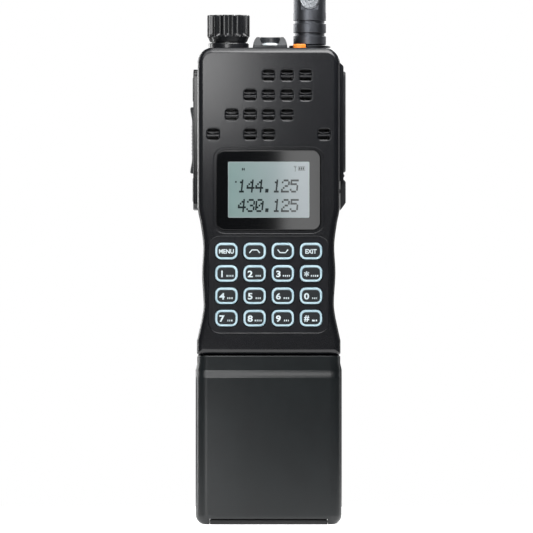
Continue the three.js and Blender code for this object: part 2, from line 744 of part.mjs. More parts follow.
// ---- folding antenna ----
const buildAntenna = () => {
  const place = [aerial.x, aerial.y];
  const flangeLow = topZ + gap;
  const socket = rod("z", connector.flange, flangeLow, flangeLow + connector.flangeThick, place, 36).add(
    rod("z", connector.radius, topZ - connector.drop, topZ + connector.reach, place),
  );
  addPart("antenna_connector", socket, "brass");
  const low = topZ + aerial.foot;
  const high = low + aerial.height;
  const r = aerial.radius;
  const profile = [
    [0, low],
    [r, low],
  ];
  for (const [from, to] of grooves) {
    profile.push([r, low + from], [r - aerial.groove, low + from]);
    profile.push([r - aerial.groove, low + to], [r, low + to]);
  }
  profile.push([r, high - aerial.chamfer], [r - aerial.chamfer, high], [0, high]);
  const slotHalf = blade.thick / 2 + blade.play;
  const slotFloor = pivotZ - blade.width / 2 - blade.under;
  const flatFrom = pivotZ - aerial.rivetHead - gap;
  const flats = [-1, 1].map((side) =>
    box(
      aerial.x - far,
      aerial.x + far,
      aerial.y + (side > 0 ? r - aerial.flat : -r - 1),
      aerial.y + (side > 0 ? r + 1 : aerial.flat - r),
      flatFrom,
      high + 1,
    ),
  );
  const base = cut(turned(profile, ...place, 28), [
    rod("z", connector.radius + gap, low - 1, topZ + connector.reach + gap, place),
    box(aerial.x - far, aerial.x + far, aerial.y - slotHalf, aerial.y + slotHalf, slotFloor, high + 1),
    rod("y", aerial.rivetShank + gap, -far, far, [aerial.x, pivotZ], 20),
    ...flats,
  ]);
  addPart("antenna_base", base, "anodised");
  const flatY = r - aerial.flat + gap;
  const [rivetFront, rivetBack] = [aerial.y - flatY, aerial.y + flatY];
  const axis = [aerial.x, pivotZ];
  const rivet = union([
    rod("y", aerial.rivetShank, rivetFront, rivetBack, axis, 20),
    rod("y", aerial.rivetHead, rivetFront - aerial.rivetThick, rivetFront, axis, 28),
    rod("y", aerial.rivetHead, rivetBack, rivetBack + aerial.rivetThick, axis, 28),
  ]);
  addPart("antenna_pivot", rivet, "steel");
  const strip = new THREE.Shape();
  const [w, tip] = [blade.width / 2, blade.tipWidth / 2];
  strip.moveTo(aerial.x + w, pivotZ);
  strip.lineTo(aerial.x + tip, pivotZ + blade.length - tip);
  strip.absarc(aerial.x, pivotZ + blade.length - tip, tip, 0, Math.PI);
  strip.lineTo(aerial.x - w, pivotZ);
  strip.absarc(aerial.x, pivotZ, w, Math.PI, 2 * Math.PI);
  const blank = extrude("y", strip, aerial.y - blade.thick / 2, aerial.y + blade.thick / 2, 0, 8);
  const eye = rod("y", aerial.rivetShank + gap, -far, far, [aerial.x, pivotZ], 20);
  addPart("antenna_blade", blank.subtract(eye), "darkRubber");
};

// ---- torch and alarm button ----
const buildTop = () => {
  const low = topZ + gap;
  const high = topZ + torch.height;
  const hump = new THREE.Shape();
  const [w, c, r] = [torch.width / 2, torch.crown / 2, torch.corner];
  hump.moveTo(torch.x - w, low);
  hump.lineTo(torch.x + w, low);
  hump.quadraticCurveTo(torch.x + w - torch.bulge, high - r, torch.x + c, high);
  hump.lineTo(torch.x - c, high);
  hump.quadraticCurveTo(torch.x - w + torch.bulge, high - r, torch.x - w, low);
  const frontY = -torch.depth / 2;
  const lipY = frontY + torchSlope.lip;
  const slope = extrude(
    "x",
    polygon([
      [frontY - 1, low - 1],
      [lipY, low - 1],
      [lipY, low + torchSlope.rise],
      [lipY + torchSlope.run, high + 1],
      [frontY - 1, high + 1],
    ]),
    -far,
    far,
  );
  const lensY = frontY + torchLens.radius + gap + 0.1;
  const wellZ = low + torchLens.well;
  const well = rod("z", torchLens.radius + gap, wellZ, high + 1, [torch.x, lensY], 28);
  const throat = rod("z", torchLens.throat, low - 1, wellZ + 1, [torch.x, lensY], 16);
  const housing = cut(extrude("y", hump, frontY, torch.depth / 2, 0, 4), [slope, well, throat]);
  addPart("torch_housing", housing, "casing");
  const rimZ = wellZ + gap + torchLens.rim;
  const dome = turned(
    [
      [0, wellZ + gap],
      [torchLens.radius, wellZ + gap],
      [torchLens.radius, rimZ],
      [torchLens.radius * 0.75, rimZ + torchLens.rise * 0.75],
      [0, rimZ + torchLens.rise],
    ],
    torch.x,
    lensY,
    28,
  );
  addPart("torch_lens", dome, "clear");
  const tip = topZ + alarm.proud;
  const button = turned(
    [
      [0, topZ - alarm.stem],
      [alarm.radius + alarm.flange, topZ - alarm.stem],
      [alarm.radius + alarm.flange, topZ - casing.wall - gap],
      [alarm.radius, topZ - casing.wall - gap],
      [alarm.radius, tip - 1],
      [alarm.radius - 1, tip - 0.2],
      [0, tip],
    ],
    alarm.x,
    alarm.y,
    28,
  );
  addPart("alarm_button", button, "orange");
};

// ---- battery pack ----
const packShape = (half, corner, inset) => {
  const shape = new THREE.Shape();
  shape.moveTo(corner - half, 0);
  shape.lineTo(half - corner, 0);
  shape.absarc(half - corner, corner, corner, -Math.PI / 2, 0);
  shape.lineTo(half, shoulderLow);
  shape.lineTo(half - inset, shoulderHigh);
  const neck = half - inset;
  shape.lineTo(neck, packHeight - pack.neckChamfer);
  shape.lineTo(neck - pack.neckChamfer, packHeight);
  shape.lineTo(pack.neckChamfer - neck, packHeight);
  shape.lineTo(-neck, packHeight - pack.neckChamfer);
  shape.lineTo(inset - half, shoulderHigh);
  shape.lineTo(-half, shoulderLow);
  shape.lineTo(-half, corner);
  shape.absarc(corner - half, corner, corner, Math.PI, 1.5 * Math.PI);
  return shape;
};
const lidLow = packHeight - pack.lidThick - gap;
const neckHalfY = packDepth / 2 - pack.neckSet - pack.wall;
const neckHalfX = packWidth / 2 - pack.neckInset - pack.wall;
const latchTop = shoulderLow - latch.top + latch.arm;
const toothY = backY - casing.wall - latchTooth.thick - latchTooth.clear;

const buildBattery = () => {
  const plan = rounded(packWidth, packDepth, pack.edge);
  const outer = extrude("z", plan, -1, packHeight + 1, 0, 4)
    .intersect(extrude("y", packShape(packWidth / 2, pack.heel, pack.neckInset), -far, far, 0, 4))
    .intersect(extrude("x", packShape(packDepth / 2, pack.sole, pack.neckSet), -far, far, 0, 2));
  const [innerW, innerD] = [packWidth - 2 * pack.wall, packDepth - 2 * pack.wall];
  const cavity = extrude("z", rounded(innerW, innerD, pack.edge - pack.wall), packFloor, shoulderLow - 1).add(
    extrude("z", rounded(2 * neckHalfX, 2 * neckHalfY, pack.edge - pack.wall), packFloor, packHeight + 1),
  );
  const footX = pack.footWidth / 2 + gap;
  const footCut = box(-footX, footX, -far, far, -1, pack.footThick + gap);
  const latchCut = box(
    -latch.width / 2 - gap,
    latch.width / 2 + gap,
    neckHalfY - 1,
    far,
    latchTop - latch.height - latch.travel - gap,
    latchTop + gap,
  );
  addPart("battery_shell", cut(outer, [cavity, footCut, latchCut]), "packShell");
  addPart(
    "battery_foot",
    box(-pack.footWidth / 2, pack.footWidth / 2, gap - packDepth / 2, packDepth / 2 - gap, 0, pack.footThick),
    "darkRubber",
  );
  const pads = [-1, 0, 1].map((i) => i * contact.pitch);
  const padBlock = (x, grow, low, high) =>
    box(
      x - contact.pad / 2 - grow,
      x + contact.pad / 2 + grow,
      contact.y - contact.pad / 2 - grow,
      contact.y + contact.pad / 2 + grow,
      low,
      high,
    );
  const padLow = packHeight - contact.padThick - gap;
  const padWells = pads.map((x) => padBlock(x, gap, padLow - 1, packHeight + 1));
  const carrier = (grow) =>
    box(
      -contact.pitch - contact.pad / 2 - grow,
      contact.pitch + contact.pad / 2 + grow,
      contact.y - contact.pad / 2 - grow,
      contact.y + contact.pad / 2 + grow,
      padLow - contact.padThick - (grow > 0 ? pack.lidThick : 0),
      padLow - (grow > 0 ? -grow : 0),
    );
  const lid = extrude(
    "z",
    rounded(2 * (neckHalfX - gap), 2 * (neckHalfY - gap), pack.edge - pack.wall - gap),
    lidLow,
    packHeight,
  );
  const toothSlot = box(
    -latchTooth.width / 2 - gap,
    latchTooth.width / 2 + gap,
    toothY - gap,
    toothY + latchTooth.thick + gap,
    0,
    packHeight + 1,
  );
  addPart("battery_lid", cut(lid, [...padWells, carrier(gap), toothSlot]), "packShell");
  const plates = pads.map((x) => padBlock(x, 0, padLow - 0.1, packHeight - gap));
  addPart("battery_contacts", union([carrier(0), ...plates]), "brass");
  const pins = pads.map((x) =>
    rod("z", contact.radius, footZ + 0.1, footZ + contact.length, [x, contact.y], 12),
  );
  const holderLow = footZ + casing.wall + gap;
  const holder = box(
    -contact.pitch - contact.pad / 2,
    contact.pitch + contact.pad / 2,
    contact.y - contact.pad / 2,
    contact.y + contact.pad / 2,
    holderLow,
    holderLow + contact.pad / 2,
  );
  addPart("body_contacts", union([holder, ...pins]), "brass");
  const cells = [];
  for (let column = 0; column < cell.columns; column += 1) {
    for (let row = 0; row < cell.rows; row += 1) {
      const x = (column - (cell.columns - 1) / 2) * cellPitch;
      const y = (row - (cell.rows - 1) / 2) * cellPitch;
      cells.push(rod("z", cell.radius, packFloor + gap, cellTop, [x, y], 20));
    }
  }
  const spanX = ((cell.columns - 1) / 2) * cellPitch + cell.stripReach;
  const spanY = ((cell.rows - 1) / 2) * cellPitch + cell.stripReach;
  cells.push(box(-spanX, spanX, -spanY, spanY, cellTop - 0.1, cellTop + cell.strip)); // welded nickel strip
  addPart("battery_cells", union(cells), "cellWrap");
  const latchLow = latchTop - latch.height;
  const thumb = box(
    -latch.width / 2,
    latch.width / 2,
    neckHalfY + pack.neckSet - gap,
    packDepth / 2 + latch.proud,
    latchLow,
    latchTop,
  );
  const ribs = Array.from({ length: latchRibs.count }, (_, i) => {
    const low = latchLow + latchRibs.first + i * latchRibs.pitch;
    const floorY = packDepth / 2 + latch.proud - latchRibs.depth;
    return box(-latch.width / 2 - 1, latch.width / 2 + 1, floorY, far, low, low + latchRibs.height);
  });
  const arm = box(
    -latchTooth.width / 2,
    latchTooth.width / 2,
    toothY,
    packDepth / 2 - latch.armEnd,
    latchTop - latch.arm,
    latchTop,
  );
  const tooth = box(
    -latchTooth.width / 2,
    latchTooth.width / 2,
    toothY,
    toothY + latchTooth.thick,
    latchTop - latch.arm,
    footZ + casing.wall - latchTooth.below,
  );
  addPart("battery_latch", cut(thumb, ribs).add(arm).add(tooth), "casing");
};

// ---- belt clip ----
// A strip of even thickness along a line of points, seen from the side.
const ribbon = (points, thick) => {
  const sides = [1, -1].map((sign) =>
    points.map((point, i) => {
      const before = points[Math.max(i - 1, 0)];
      const after = points[Math.min(i + 1, points.length - 1)];
      const [dy, dz] = [after[0] - before[0], after[1] - before[1]];
      const length = Math.hypot(dy, dz);
      return [point[0] - (sign * thick * dz) / (2 * length), point[1] + (sign * thick * dy) / (2 * length)];
    }),
  );
  return polygon([...sides[0], ...sides[1].reverse()]);
};
const buildClip = () => {
  const pinZ = topZ - clip.pin;
  const lineY = backY + clip.beltGap + clip.thick / 2;
  const pinY = lineY - clip.thick / 2 - hinge.set;
  const half = clip.width / 2;
  const tipY = backY + clip.tipGap + clip.thick / 2;
  const tipZ = pinZ - clip.reach;
  const line = [
    [lineY, pinZ + clip.tab],
    [lineY, tipZ + clipBend.start],
    [lineY - 1, tipZ + clipBend.start - clipBend.curve],
    [tipY + 0.6 * clipBend.tip, tipZ + clipBend.tip],
    [tipY, tipZ - 1.2 * clipBend.tip],
    [tipY + 0.8 * clipBend.tip, tipZ - clip.lip],
  ];
  const knuckle = rod("x", hinge.knuckle, -half, half, [pinY, pinZ], 20);
  const bore = rod("x", hinge.pin + gap, -far, far, [pinY, pinZ], 16);
  const room = hinge.spring + gap;
  const springRoom = box(-room, room, 0, lineY - clip.thick / 2, pinZ - far, pinZ + far);
  const plate = extrude("x", ribbon(line, clip.thick), -half, half);
  addPart("belt_clip", cut(plate.add(knuckle.subtract(springRoom)), [bore]), "casing");

  const earX = half + gap;
  const plateY = backY + gap;
  const plateTop = pinZ + clipPlate.above;
  const plateX = earX + hinge.ear;
  const base = box(-plateX, plateX, plateY, plateY + clipPlate.thick, plateTop - clipPlate.height, plateTop);
  const ears = [-1, 1].map((side) => {
    const [x0, x1] = side > 0 ? [earX, earX + hinge.ear] : [-earX - hinge.ear, -earX];
    const leg = box(x0, x1, plateY, pinY, pinZ - hinge.knuckle, pinZ + hinge.knuckle);
    return leg.add(rod("x", hinge.knuckle, x0, x1, [pinY, pinZ], 20));
  });
  addPart("clip_bracket", cut(union([base, ...ears]), [bore]), "steel");
  const pinHalf = plateX + hinge.pinEnd;
  addPart("clip_pin", rod("x", hinge.pin, -pinHalf, pinHalf, [pinY, pinZ], 16), "steel");
  const reach = hinge.spring - coil.wire;
  const coilRadius = hinge.pin + coil.slack + coil.wire;
  const points = [];
  const steps = coil.turns * 10;
  for (let i = 0; i <= steps; i += 1) {
    const a = (i / steps) * coil.turns * 2 * Math.PI;
    const x = -reach + (2 * reach * i) / steps;
    points.push(new THREE.Vector3(x, pinY + coilRadius * Math.cos(a), pinZ + coilRadius * Math.sin(a)));
  }
  const wire = new THREE.ExtrudeGeometry(new THREE.Shape().absarc(0, 0, coil.wire, 0, 2 * Math.PI), {
    steps,
    curveSegments: 2,
    extrudePath: new THREE.CatmullRomCurve3(points),
  });
  addPart("clip_spring", solidOf(wire), "steel");
};

buildCasing();
buildDisplay();
buildKeypad();
buildSound();
buildElectronics();
buildSideKeys();
buildJacks();
buildVolume();
buildAntenna();
buildTop();
buildBattery();
buildClip();

export default radio;
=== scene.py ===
import json
import math
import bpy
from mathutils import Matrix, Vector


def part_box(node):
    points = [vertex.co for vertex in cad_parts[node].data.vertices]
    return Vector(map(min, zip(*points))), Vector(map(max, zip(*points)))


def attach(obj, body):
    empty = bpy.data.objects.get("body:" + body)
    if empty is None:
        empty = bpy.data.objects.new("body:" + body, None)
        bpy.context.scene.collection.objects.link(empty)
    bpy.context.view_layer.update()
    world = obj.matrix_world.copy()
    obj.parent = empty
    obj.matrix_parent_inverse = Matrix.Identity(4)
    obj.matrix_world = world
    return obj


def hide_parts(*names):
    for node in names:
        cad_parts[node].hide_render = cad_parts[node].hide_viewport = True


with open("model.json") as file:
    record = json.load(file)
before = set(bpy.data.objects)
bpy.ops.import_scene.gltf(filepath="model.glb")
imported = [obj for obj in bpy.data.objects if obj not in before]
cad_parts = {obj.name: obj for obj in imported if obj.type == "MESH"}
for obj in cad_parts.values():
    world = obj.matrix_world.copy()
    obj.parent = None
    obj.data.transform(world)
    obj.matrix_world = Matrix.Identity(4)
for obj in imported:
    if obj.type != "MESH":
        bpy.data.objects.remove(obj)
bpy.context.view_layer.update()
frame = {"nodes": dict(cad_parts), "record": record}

from types import SimpleNamespace

import bmesh
import bpy
from mathutils import Vector

mm = 0.001
scene = bpy.context.scene
print("frame loaded:", len(frame["nodes"]), "nodes")


# Lowest and highest corner of a CAD node, in millimetres
def placeOf(node):
    low, high = (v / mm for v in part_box(node))
    middle, size = (low + high) / 2, high - low
    return SimpleNamespace(x0=low.x, x1=high.x, y0=low.y, y1=high.y, z0=low.z, z1=high.z,
                           x=middle.x, y=middle.y, z=middle.z, w=size.x, d=size.y, h=size.z)


bodyOf = {node: body for body, nodes in frame["record"]["behaviour"]["bodies"].items() for node in nodes}


# Mesh helpers, all in millimetres

def roundedRect(width, height, radius, x=0.0, z=0.0, steps=6):
    radius = min(radius, width / 2 - 1e-4, height / 2 - 1e-4)
    points = []
    for cx, cz, start in ((1, -1, -90), (1, 1, 0), (-1, 1, 90), (-1, -1, 180)):
        for i in range(steps + 1):
            a = math.radians(start + 90 * i / steps)
            points.append((x + cx * (width / 2 - radius) + radius * math.cos(a),
                           z + cz * (height / 2 - radius) + radius * math.sin(a)))
    return points


# A rounded rectangle as a function of how far it is drawn in
def rectShape(width, height, radius, x=0.0, z=0.0, steps=6):
    return lambda inset: roundedRect(width - 2 * inset, height - 2 * inset, max(radius - inset, 0.05), x, z,
                                     steps)


# Quarter round from the wall (inset 0) to the face: (inset, depth) pairs
def quarterRound(radius, y, steps=5, sign=1):
    return [(radius * (1 - cosOf(90 * i / steps)),
             y + sign * radius * (1 - sinOf(90 * i / steps))) for i in range(steps + 1)]


# Pairs whose second number counts from a level
def fromLevel(level, *pairs):
    return [(first, level + step) for first, step in pairs]


def cosOf(degrees):
    return math.cos(math.radians(degrees))


def sinOf(degrees):
    return math.sin(math.radians(degrees))


# Places an outline's two numbers and a level along an axis
def onAxis(axis, point, level):
    a, b = point
    return {"x": (level, a, b), "y": (a, level, b), "z": (a, b, level)}[axis]


# Closed solid through a row of (inset, level) stations of one outline
def loft(axis, shape, stations):
    verts, faces = [], []
    for inset, level in stations:
        verts += [onAxis(axis, p, level) for p in shape(inset)]
    n = len(verts) // len(stations)
    for ring in range(len(stations) - 1):
        for i in range(n):
            j = (i + 1) % n
            faces.append((ring * n + i, ring * n + j, (ring + 1) * n + j, (ring + 1) * n + i))
    faces.append(tuple(range(n)))
    faces.append(tuple(range((len(stations) - 1) * n, len(stations) * n)))
    return verts, faces


# Turned solid about an axis through (a, b), from (radius, level) pairs with the ends on the axis
def turned(axis, centre, profile, sides=48):
    verts, faces, rings = [], [], []
    for radius, level in profile:
        if radius < 1e-6:
            rings.append([len(verts)])
            verts.append(onAxis(axis, centre, level))
            continue
        rings.append(list(range(len(verts), len(verts) + sides)))
        for i in range(sides):
            a = 2 * math.pi * i / sides
            verts.append(onAxis(axis, (centre[0] + radius * math.cos(a), centre[1] + radius * math.sin(a)),
                                level))
    for low, high in zip(rings, rings[1:]):
        for i in range(sides):
            j = (i + 1) % sides
            if len(low) == 1 and len(high) > 1:
                faces.append((low[0], high[j], high[i]))
            elif len(high) == 1 and len(low) > 1:
                faces.append((low[i], low[j], high[0]))
            elif len(low) > 1:
                faces.append((low[i], low[j], high[j], high[i]))
    return verts, faces


# Plain cylinder between two levels
def rod(axis, centre, radius, low, high, sides=24):
    return turned(axis, centre, [(0, low), (radius, low), (radius, high), (0, high)], sides)


def boxSolid(x0, x1, y0, y1, z0, z1):
    verts = [(x, y, z) for z in (z0, z1) for y in (y0, y1) for x in (x0, x1)]
    return verts, [(0, 1, 3, 2), (4, 5, 7, 6), (0, 1, 5, 4), (2, 3, 7, 6), (0, 2, 6, 4), (1, 3, 7, 5)]


# A small rounded bar about the origin; ends are (inset, reach) pairs from the tip inwards
def ribBar(axis, width, height, corner, *ends):
    return loft(axis, lambda inset: roundedRect(width - 2 * inset, height - 2 * inset, corner, 0, 0, 3),
                [(inset, -reach) for inset, reach in ends] + list(reversed(ends)))


# A mesh from solids given in millimetres; one material index for each solid
def meshFrom(name, solids, materials=(), slots=None):
    mesh = bpy.data.meshes.new(name)
    verts, faces, kinds = [], [], []
    for k, (v, f) in enumerate(solids):
        start = len(verts)
        verts += v
        faces += [tuple(i + start for i in face) for face in f]
        kinds += [slots[k] if slots else 0] * len(f)
    mesh.from_pydata([tuple(c * mm for c in v) for v in verts], [], faces)
    for material in materials:
        mesh.materials.append(material)
    mesh.polygons.foreach_set("material_index", kinds)
    bm = bmesh.new()
    bm.from_mesh(mesh)
    bmesh.ops.recalc_face_normals(bm, faces=bm.faces)
    bm.to_mesh(mesh)
    bm.free()
    mesh.update()
    return mesh


def objectFrom(name, mesh):
    obj = bpy.data.objects.new(name, mesh)
    scene.collection.objects.link(obj)
    return obj


def solidObject(name, solids, material):
    return objectFrom(name, meshFrom(name, solids, [material]))


# Fixes what the modifiers make into a plain mesh
def settle(obj):
    depsgraph = bpy.context.evaluated_depsgraph_get()
    mesh = bpy.data.meshes.new_from_object(obj.evaluated_get(depsgraph), depsgraph=depsgraph)
    obj.modifiers.clear()
    obj.data = mesh
    return obj


# Cuts groups of solids out of an object, one group after another
def cutAway(obj, groups):
    for solids in groups:
        tool = objectFrom("cutter", meshFrom("cutter", solids, list(obj.data.materials)[:1]))
        modifier = obj.modifiers.new("cut", "BOOLEAN")
        modifier.operation, modifier.solver, modifier.object = "DIFFERENCE", "EXACT", tool
        modifier.use_self = True
        settle(obj)
        bpy.data.objects.remove(tool)
    return obj


# Smooth shading with hard edges past an angle, then a narrow rounding of those edges
def finishEdges(obj, width=0.0, angle=38):
    if width:
        bevel = obj.modifiers.new("edges", "BEVEL")
        bevel.width, bevel.segments = width * mm, 2
        bevel.limit_method, bevel.angle_limit = "ANGLE", math.radians(32)
        bevel.harden_normals = False
        settle(obj)
    obj.data.shade_smooth()
    obj.data.set_sharp_from_angle(angle=math.radians(angle))
    flat = obj.modifiers.new("flat faces", "WEIGHTED_NORMAL")
    flat.mode, flat.weight, flat.keep_sharp = "FACE_AREA", 80, True
    return settle(obj)


def joinMeshes(name, objects):
    for obj in objects:
        settle(obj)
    materials = []
    bm = bmesh.new()
    for obj in objects:
        own = list(obj.data.materials)
        for material in own:
            if material not in materials:
                materials.append(material)
        first = len(bm.faces)
        bm.from_mesh(obj.data)
        bm.faces.ensure_lookup_table()
        for face in bm.faces[first:]:
            face.material_index = materials.index(own[face.material_index]) if own else 0
    mesh = bpy.data.meshes.new(name)
    bm.to_mesh(mesh)
    bm.free()
    for material in materials:
        mesh.materials.append(material)
    for obj in objects:
        bpy.data.objects.remove(obj)
    return objectFrom(name, mesh)


# Hands a finished piece to the frame
def setPiece(obj, slot, *nodes, body=None):
    obj.name = obj.data.name = nodes[0] + "_look" if nodes else obj.name
    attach(obj, body or bodyOf[nodes[0]])
    if nodes:
        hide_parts(*nodes)
    return obj


# Materials

def hexColour(code):
    parts = [int(code[i:i + 2], 16) / 255 for i in (1, 3, 5)]
    return tuple(c / 12.92 if c <= 0.04045 else ((c + 0.055) / 1.055) ** 2.4 for c in parts) + (1.0,)


# Adds a node with its settings; an input takes a value, another node's socket, or a node for its first output
def addNode(tree, kind, inputs=None, stops=None, **settings):
    node = tree.nodes.new(kind)
    for name, value in settings.items():
        setattr(node, name, value)
    if stops:
        ramp = node.color_ramp
        while len(ramp.elements) < len(stops):
            ramp.elements.new(1.0)
        for element, (place, colour) in zip(ramp.elements, stops):
            element.position, element.color = place, colour
    for key, value in (inputs or {}).items():
        if isinstance(value, bpy.types.Node):
            value = value.outputs[0]
        if isinstance(value, bpy.types.NodeSocket):
            tree.links.new(value, node.inputs[key])
        else:
            node.inputs[key].default_value = value
    return node


def grey(value):
    return (value, value, value, 1.0)


# Pattern scale for a feature of a real size in millimetres
def perSize(size):
    return 1.0 / (size * mm)


def startMaterial(name):
    material = bpy.data.materials.new(name)
    material.use_nodes = True
    tree = material.node_tree
    tree.nodes.clear()
    place = addNode(tree, "ShaderNodeTexCoord").outputs["Object"]
    return material, tree, place


def endMaterial(material, tree, shader):
    addNode(tree, "ShaderNodeOutputMaterial", {"Surface": shader})
    return material


# Moulded plastic or rubber: a spark-eroded grain, a slow drift of shade, and fine rub marks that shine.
# shades are the darker and the lighter colour, grain its size in mm, depth the height of the grain in mm.
def mouldedMaterial(name, shades, rough, grain=0.45, depth=0.02, drift=14.0, rub=0.06, ior=1.5,
                    coat=0.0, sheen=0.0):
    material, tree, place = startMaterial(name)
    slow = addNode(tree, "ShaderNodeTexNoise", {"Vector": place, "Scale": perSize(drift), "Detail": 3.0})
    colour = addNode(tree, "ShaderNodeValToRGB", {"Fac": slow.outputs["Fac"]},
                     stops=[(0.3, hexColour(shades[0])), (0.7, hexColour(shades[1]))])
    fine = addNode(tree, "ShaderNodeTexNoise", {"Vector": place, "Scale": perSize(grain), "Detail": 2.0})
    stretched = addNode(tree, "ShaderNodeMapping", {"Vector": place, "Scale": (1.0, 1.0, 0.12),
        "Rotation": (0.0, 0.35, 0.0)})
    marks = addNode(tree, "ShaderNodeTexNoise", {"Vector": stretched, "Scale": perSize(0.8), "Detail": 4.0})
    spread = addNode(tree, "ShaderNodeMapRange", {"Value": marks.outputs["Fac"], "From Min": 0.35,
        "From Max": 0.75, "To Min": rough + rub, "To Max": rough - rub})
    height = addNode(tree, "ShaderNodeBump", {"Height": fine.outputs["Fac"], "Strength": 0.6,
                                              "Distance": depth * mm})
    shader = addNode(tree, "ShaderNodeBsdfPrincipled", {
        "Base Color": colour, "Roughness": spread, "Normal": height,
        "IOR": ior, "Coat Weight": coat, "Coat Roughness": 0.12, "Sheen Weight": sheen,
        "Sheen Roughness": 0.5})
    return endMaterial(material, tree, shader)


# Metal with tool lines along one axis: lines are drawn at lineSize mm apart
def metalMaterial(name, shades, rough, along="z", lineSize=0.35, depth=0.008, stretch=14.0):
    material, tree, place = startMaterial(name)
    scale = [1.0, 1.0, 1.0]
    scale["xyz".index(along)] = 1.0 / stretch
    lines = addNode(tree, "ShaderNodeMapping", {"Vector": place, "Scale": scale})
    brush = addNode(tree, "ShaderNodeTexNoise", {"Vector": lines, "Scale": perSize(lineSize), "Detail": 5.0})
    slow = addNode(tree, "ShaderNodeTexNoise", {"Vector": place, "Scale": perSize(9.0), "Detail": 2.0})
    colour = addNode(tree, "ShaderNodeValToRGB", {"Fac": slow.outputs["Fac"]},
                     stops=[(0.3, hexColour(shades[0])), (0.7, hexColour(shades[1]))])
    spread = addNode(tree, "ShaderNodeMapRange", {"Value": brush.outputs["Fac"], "From Min": 0.3,
        "From Max": 0.7, "To Min": rough - 0.07, "To Max": rough + 0.1})
    height = addNode(tree, "ShaderNodeBump", {"Height": brush.outputs["Fac"], "Strength": 0.5,
                                              "Distance": depth * mm})
    shader = addNode(tree, "ShaderNodeBsdfPrincipled", {
        "Base Color": colour, "Roughness": spread, "Normal": height, "Metallic": 1.0})
    return endMaterial(material, tree, shader)


# Gloss over a printed or tinted layer: a clear hard coat with a trace of dust and fine wipe marks
def glossMaterial(name, shades, rough=0.3, coatRough=0.03, drift=20.0, specular=0.1, paintedLightShift=None):
    material, tree, place = startMaterial(name)
    slow = addNode(tree, "ShaderNodeTexNoise", {"Vector": place, "Scale": perSize(drift), "Detail": 2.0})
    colour = addNode(tree, "ShaderNodeValToRGB", {"Fac": slow.outputs["Fac"]},
                     stops=[(0.25, hexColour(shades[0])), (0.75, hexColour(shades[1]))])
    source = colour.outputs[0]
    if paintedLightShift:  # (second colour pair, x from, x to): painted light, the layer is painted lighter across the piece where the room lights it more
        parts = addNode(tree, "ShaderNodeSeparateXYZ", {"Vector": place})
        across = addNode(tree, "ShaderNodeMapRange", {"Value": parts.outputs["X"],
            "From Min": paintedLightShift[1] * mm, "From Max": paintedLightShift[2] * mm})
        mixed = addNode(tree, "ShaderNodeMix", {0: across, 6: source, 7: hexColour(paintedLightShift[0])},
                        data_type="RGBA")
        source = mixed.outputs[2]
    wipe = addNode(tree, "ShaderNodeTexNoise", {"Vector": place, "Scale": perSize(5.0), "Detail": 6.0})
    dust = addNode(tree, "ShaderNodeMapRange", {"Value": wipe.outputs["Fac"], "From Min": 0.4,
        "From Max": 0.8, "To Min": rough, "To Max": rough + 0.12})
    shader = addNode(tree, "ShaderNodeBsdfPrincipled", {
        "Base Color": source, "Roughness": dust, "IOR": 1.49, "Coat Weight": 1.0,
        "Coat Roughness": coatRough, "Coat IOR": 1.49, "Specular IOR Level": specular})
    return endMaterial(material, tree, shader)


# PC/ABS casing, moulded in a spark-eroded tool: near black, soft sheen, slightly shinier where hands rub it
casingPlastic = mouldedMaterial("mouldedCasing", ("#101114", "#131417"), 0.25, grain=0.5, depth=0.008,
                                rub=0.015)
# The same for the battery pack, from another tool with a coarser grain: a little greyer and duller
batteryPlastic = mouldedMaterial("mouldedBattery", ("#0f1315", "#13181a"), 0.3, grain=0.7, depth=0.012,
                                 rub=0.02)
footPlastic = mouldedMaterial("mouldedFoot", ("#131416", "#1a1b1d"), 0.55, grain=0.9, depth=0.04)
knobPlastic = mouldedMaterial("mouldedKnob", ("#111214", "#17181a"), 0.24, grain=0.35, depth=0.008, rub=0.03)
clipPlastic = mouldedMaterial("mouldedClip", ("#17181a", "#1e2022"), 0.46, grain=0.6, depth=0.03)
torchPlastic = mouldedMaterial("mouldedTorch", ("#1d1f22", "#25272a"), 0.3, grain=0.5, depth=0.02)
recessPlastic = mouldedMaterial("mouldedRecess", ("#0e0f13", "#121318"), 0.33, grain=0.5, depth=0.012)
innerPlastic = mouldedMaterial("mouldedInner", ("#c9c8bf", "#d9d8d0"), 0.55, grain=0.8, depth=0.02)
# Silicone rubber: dull, no clear reflection, a bloom of dust at grazing angles
keyRubber = mouldedMaterial("siliconeKey", ("#15191c", "#1b2023"), 0.5, grain=0.4, depth=0.01, ior=1.41,
                            sheen=0.15)
sideRubber = mouldedMaterial("siliconeSideKey", ("#1b1e21", "#232629"), 0.55, grain=0.5, depth=0.02, ior=1.41,
                             sheen=0.25)
softRubber = mouldedMaterial("softCover", ("#17191c", "#1d2023"), 0.58, grain=0.6, depth=0.03, ior=1.45,
                             sheen=0.25)
sealRubber = mouldedMaterial("sealRubber", ("#101113", "#17181a"), 0.7, grain=0.4, depth=0.02, ior=1.45,
                             sheen=0.2)
antennaCoat = mouldedMaterial("antennaCoat", ("#15161a", "#1c1d21"), 0.5, grain=0.5, depth=0.03, sheen=0.1)
orangePlastic = mouldedMaterial("mouldedOrange", ("#d9701c", "#f08a2e"), 0.45, grain=0.5, depth=0.015,
                                drift=4.0)
# Silk-screened ink: flat, matt, a little uneven at its edge
legendInk = mouldedMaterial("legendInk", ("#c3d2d8", "#dfe9ec"), 0.6, grain=0.25, depth=0.004, drift=3.0)
# Translucent silicone rim of a key, lit by the room: pale ice blue, soft
keyRim = mouldedMaterial("translucentRim", ("#a9c8d4", "#c3dde6"), 0.42, grain=0.6, depth=0.004, drift=5.0,
                         ior=1.41)
speakerCloth = mouldedMaterial("speakerCloth", ("#0a0a0b", "#121214"), 0.9, grain=0.25, depth=0.08)
